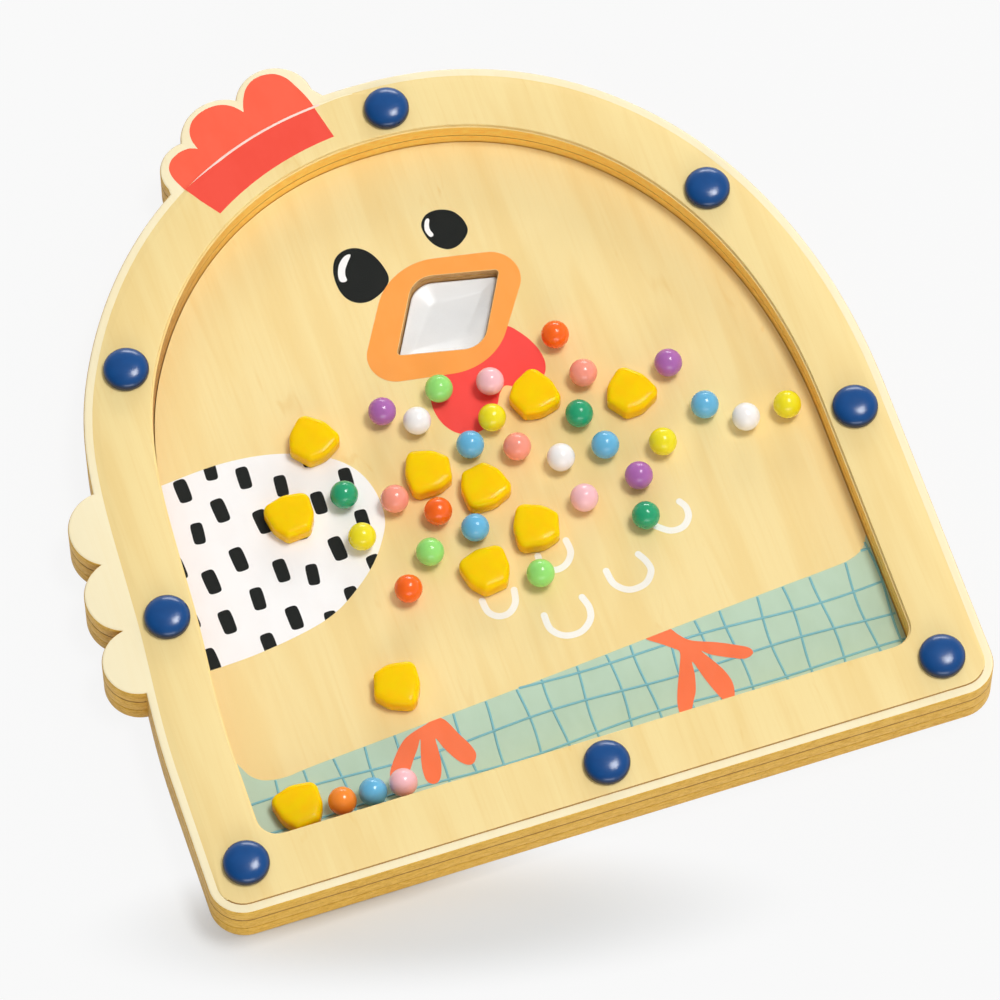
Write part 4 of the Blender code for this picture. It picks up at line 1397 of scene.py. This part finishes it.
def make_kernels():
    rows = kernel_rows()
    places = [(*tray_point(across, up), turn) for across, up, turn in KERNELS]
    row_x = ROW_START * OPENING_HALF - BEAD_RADIUS - ROW_GAP - KERNEL_CROWN / 2
    row_y = OPENING_BOTTOM + KERNEL_LENGTH / 2 + ROW_EDGE_GAP
    places.append((row_x, row_y, CORNER_KERNEL_TURN))
    for number, (x, y, degrees) in enumerate(places, 1):
        node = f"corn_kernel_{number}"
        bm = bmesh.new()
        skinned(bm, rows)
        bmesh.ops.rotate(bm, verts=bm.verts, cent=(0, 0, 0), matrix=Matrix.Rotation(math.radians(degrees), 3, "Z"))
        bmesh.ops.translate(bm, verts=bm.verts, vec=(x, y, KERNEL_LEVEL))
        fitted(placed(f"grain_{number}", bm, [KERNEL_AMBER], ROUND_SHARP_TURN), node, "corn_yellow", node)


# Stage

# Ellipse beside the board's lower side where the floor carries a painted shadow.
SHADOW_PLACE = (-0.062, -0.012)
SHADOW_SIZE = (0.118, 0.026, 1.0)
SHADOW_TURN = math.radians(-15)
LAMPS = (
    ("key_lamp", (0.30, 0.02, 0.95), 48, (1.0, 0.8)),
    ("back_lamp", (0.35, 0.88, 0.32), 24, (1.5, 0.5)),
    ("front_lamp", (-0.15, -0.92, 0.36), 20, (2.0, 0.9)),
)
LAMP_DISTANCE = 3.0
CAMERA_LENS = 278.815
CAMERA_SENSOR = 36.0
CAMERA_PLACE = (-0.33144, -0.88664, 2.15533)
CAMERA_TURN = (math.radians(90 - 63.903), 0, math.radians(-18.405))
FLOOR_HALF = 8.0
FLOOR_LEVEL = -0.0002


def floor_finish():
    """Pale paper. To the camera it is nearly white, and keeps the board's shadow beside its lower side, where a darker
    paper seen by the camera adds a painted shadow to the real one.
    """
    paper = Finish("floor_paper", 0.9, 0.0)
    path = paper.added("ShaderNodeLightPath").outputs
    ray = calculated(paper.tree, "MAXIMUM", path["Is Camera Ray"], path["Is Glossy Ray"])
    ray = calculated(paper.tree, "MAXIMUM", ray, path["Is Transmission Ray"])
    # Paper seen by the camera, and in gloss and glass, is darker than the paper the light bounces off; where the glow
    # gives way, this shows as the painted shadow.
    paper.coloured(paper.mixed(ray, (0.955, 0.965, 0.965, 1.0), (0.74, 0.75, 0.75, 1.0)))
    glow = paper.added("ShaderNodeEmission", {"Color": (0.960, 0.960, 0.960, 1.0)})
    spot = {"Location": SHIFT + Vector((*SHADOW_PLACE, 0)), "Rotation": (0, 0, SHADOW_TURN), "Scale": SHADOW_SIZE}
    beside = paper.added("ShaderNodeMapping", {"Vector": paper.place, **spot}, vector_type="TEXTURE")
    far = paper.added("ShaderNodeVectorMath", {0: beside.outputs["Vector"]}, operation="LENGTH")
    # Painted shadow: inside the ellipse the glow fades out and the camera's darker paper shows.
    share = paper.between(far.outputs["Value"], 0.25, 1.0, 0.0, 0.93)
    paper.surfaced(calculated(paper.tree, "MULTIPLY", share, ray), paper.shader, glow)
    return paper.material


def make_stage():
    """A pale floor, a soft sky, dimmer overhead and behind the tail, three soft lamps and the camera."""
    bm = bmesh.new()
    signs = ((-1, -1), (1, -1), (1, 1), (-1, 1))
    bm.faces.new([bm.verts.new((x * FLOOR_HALF, y * FLOOR_HALF, FLOOR_LEVEL)) for x, y in signs])
    mesh = bpy.data.meshes.new("floor")
    bm.to_mesh(mesh)
    bm.free()
    mesh.materials.append(floor_finish())
    linked("floor", mesh)

    world = bpy.data.worlds.new("studio")
    bpy.context.scene.world = world
    world.use_nodes = True
    sky = world.node_tree
    where = added(sky, "ShaderNodeTexCoord", {}).outputs["Generated"]
    parts = added(sky, "ShaderNodeSeparateXYZ", {"Vector": where}).outputs
    overhead = spanned(sky, parts["Z"], 0.12, 0.50, 1.0, 0.42)
    aside = spanned(sky, parts["X"], -0.85, 0.0, 0.40, 1.0)
    light = calculated(sky, "MULTIPLY", overhead, aside)
    sky.links.new(light, sky.nodes["Background"].inputs["Color"])

    for name, toward, power, size in LAMPS:
        lamp = bpy.data.lights.new(name, "AREA")
        lamp.shape = "RECTANGLE"
        lamp.size, lamp.size_y = size
        lamp.energy = power
        holder = linked(name, lamp)
        direction = Vector(toward).normalized()
        holder.location = direction * LAMP_DISTANCE
        holder.rotation_euler = direction.to_track_quat("Z", "Y").to_euler()

    camera = bpy.data.cameras.new("camera")
    camera.lens = CAMERA_LENS
    camera.sensor_width = CAMERA_SENSOR
    viewer = linked("camera", camera)
    viewer.rotation_euler = CAMERA_TURN
    viewer.location = Vector(CAMERA_PLACE) + SHIFT
    bpy.context.scene.camera = viewer
    bpy.context.scene.view_settings.view_transform = "Standard"


def main():
    border = anticlockwise(panel_border())
    make_layers()
    make_panel(border)
    make_face_print()
    make_wing(border)
    make_ground(border)
    make_feathers()
    make_comb_print()
    make_dish()
    make_rivets()
    make_beads()
    make_kernels()
    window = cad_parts["clear_window"]
    for slot in window.material_slots:
        slot.material = WINDOW_CLEAR
    make_stage()


main()
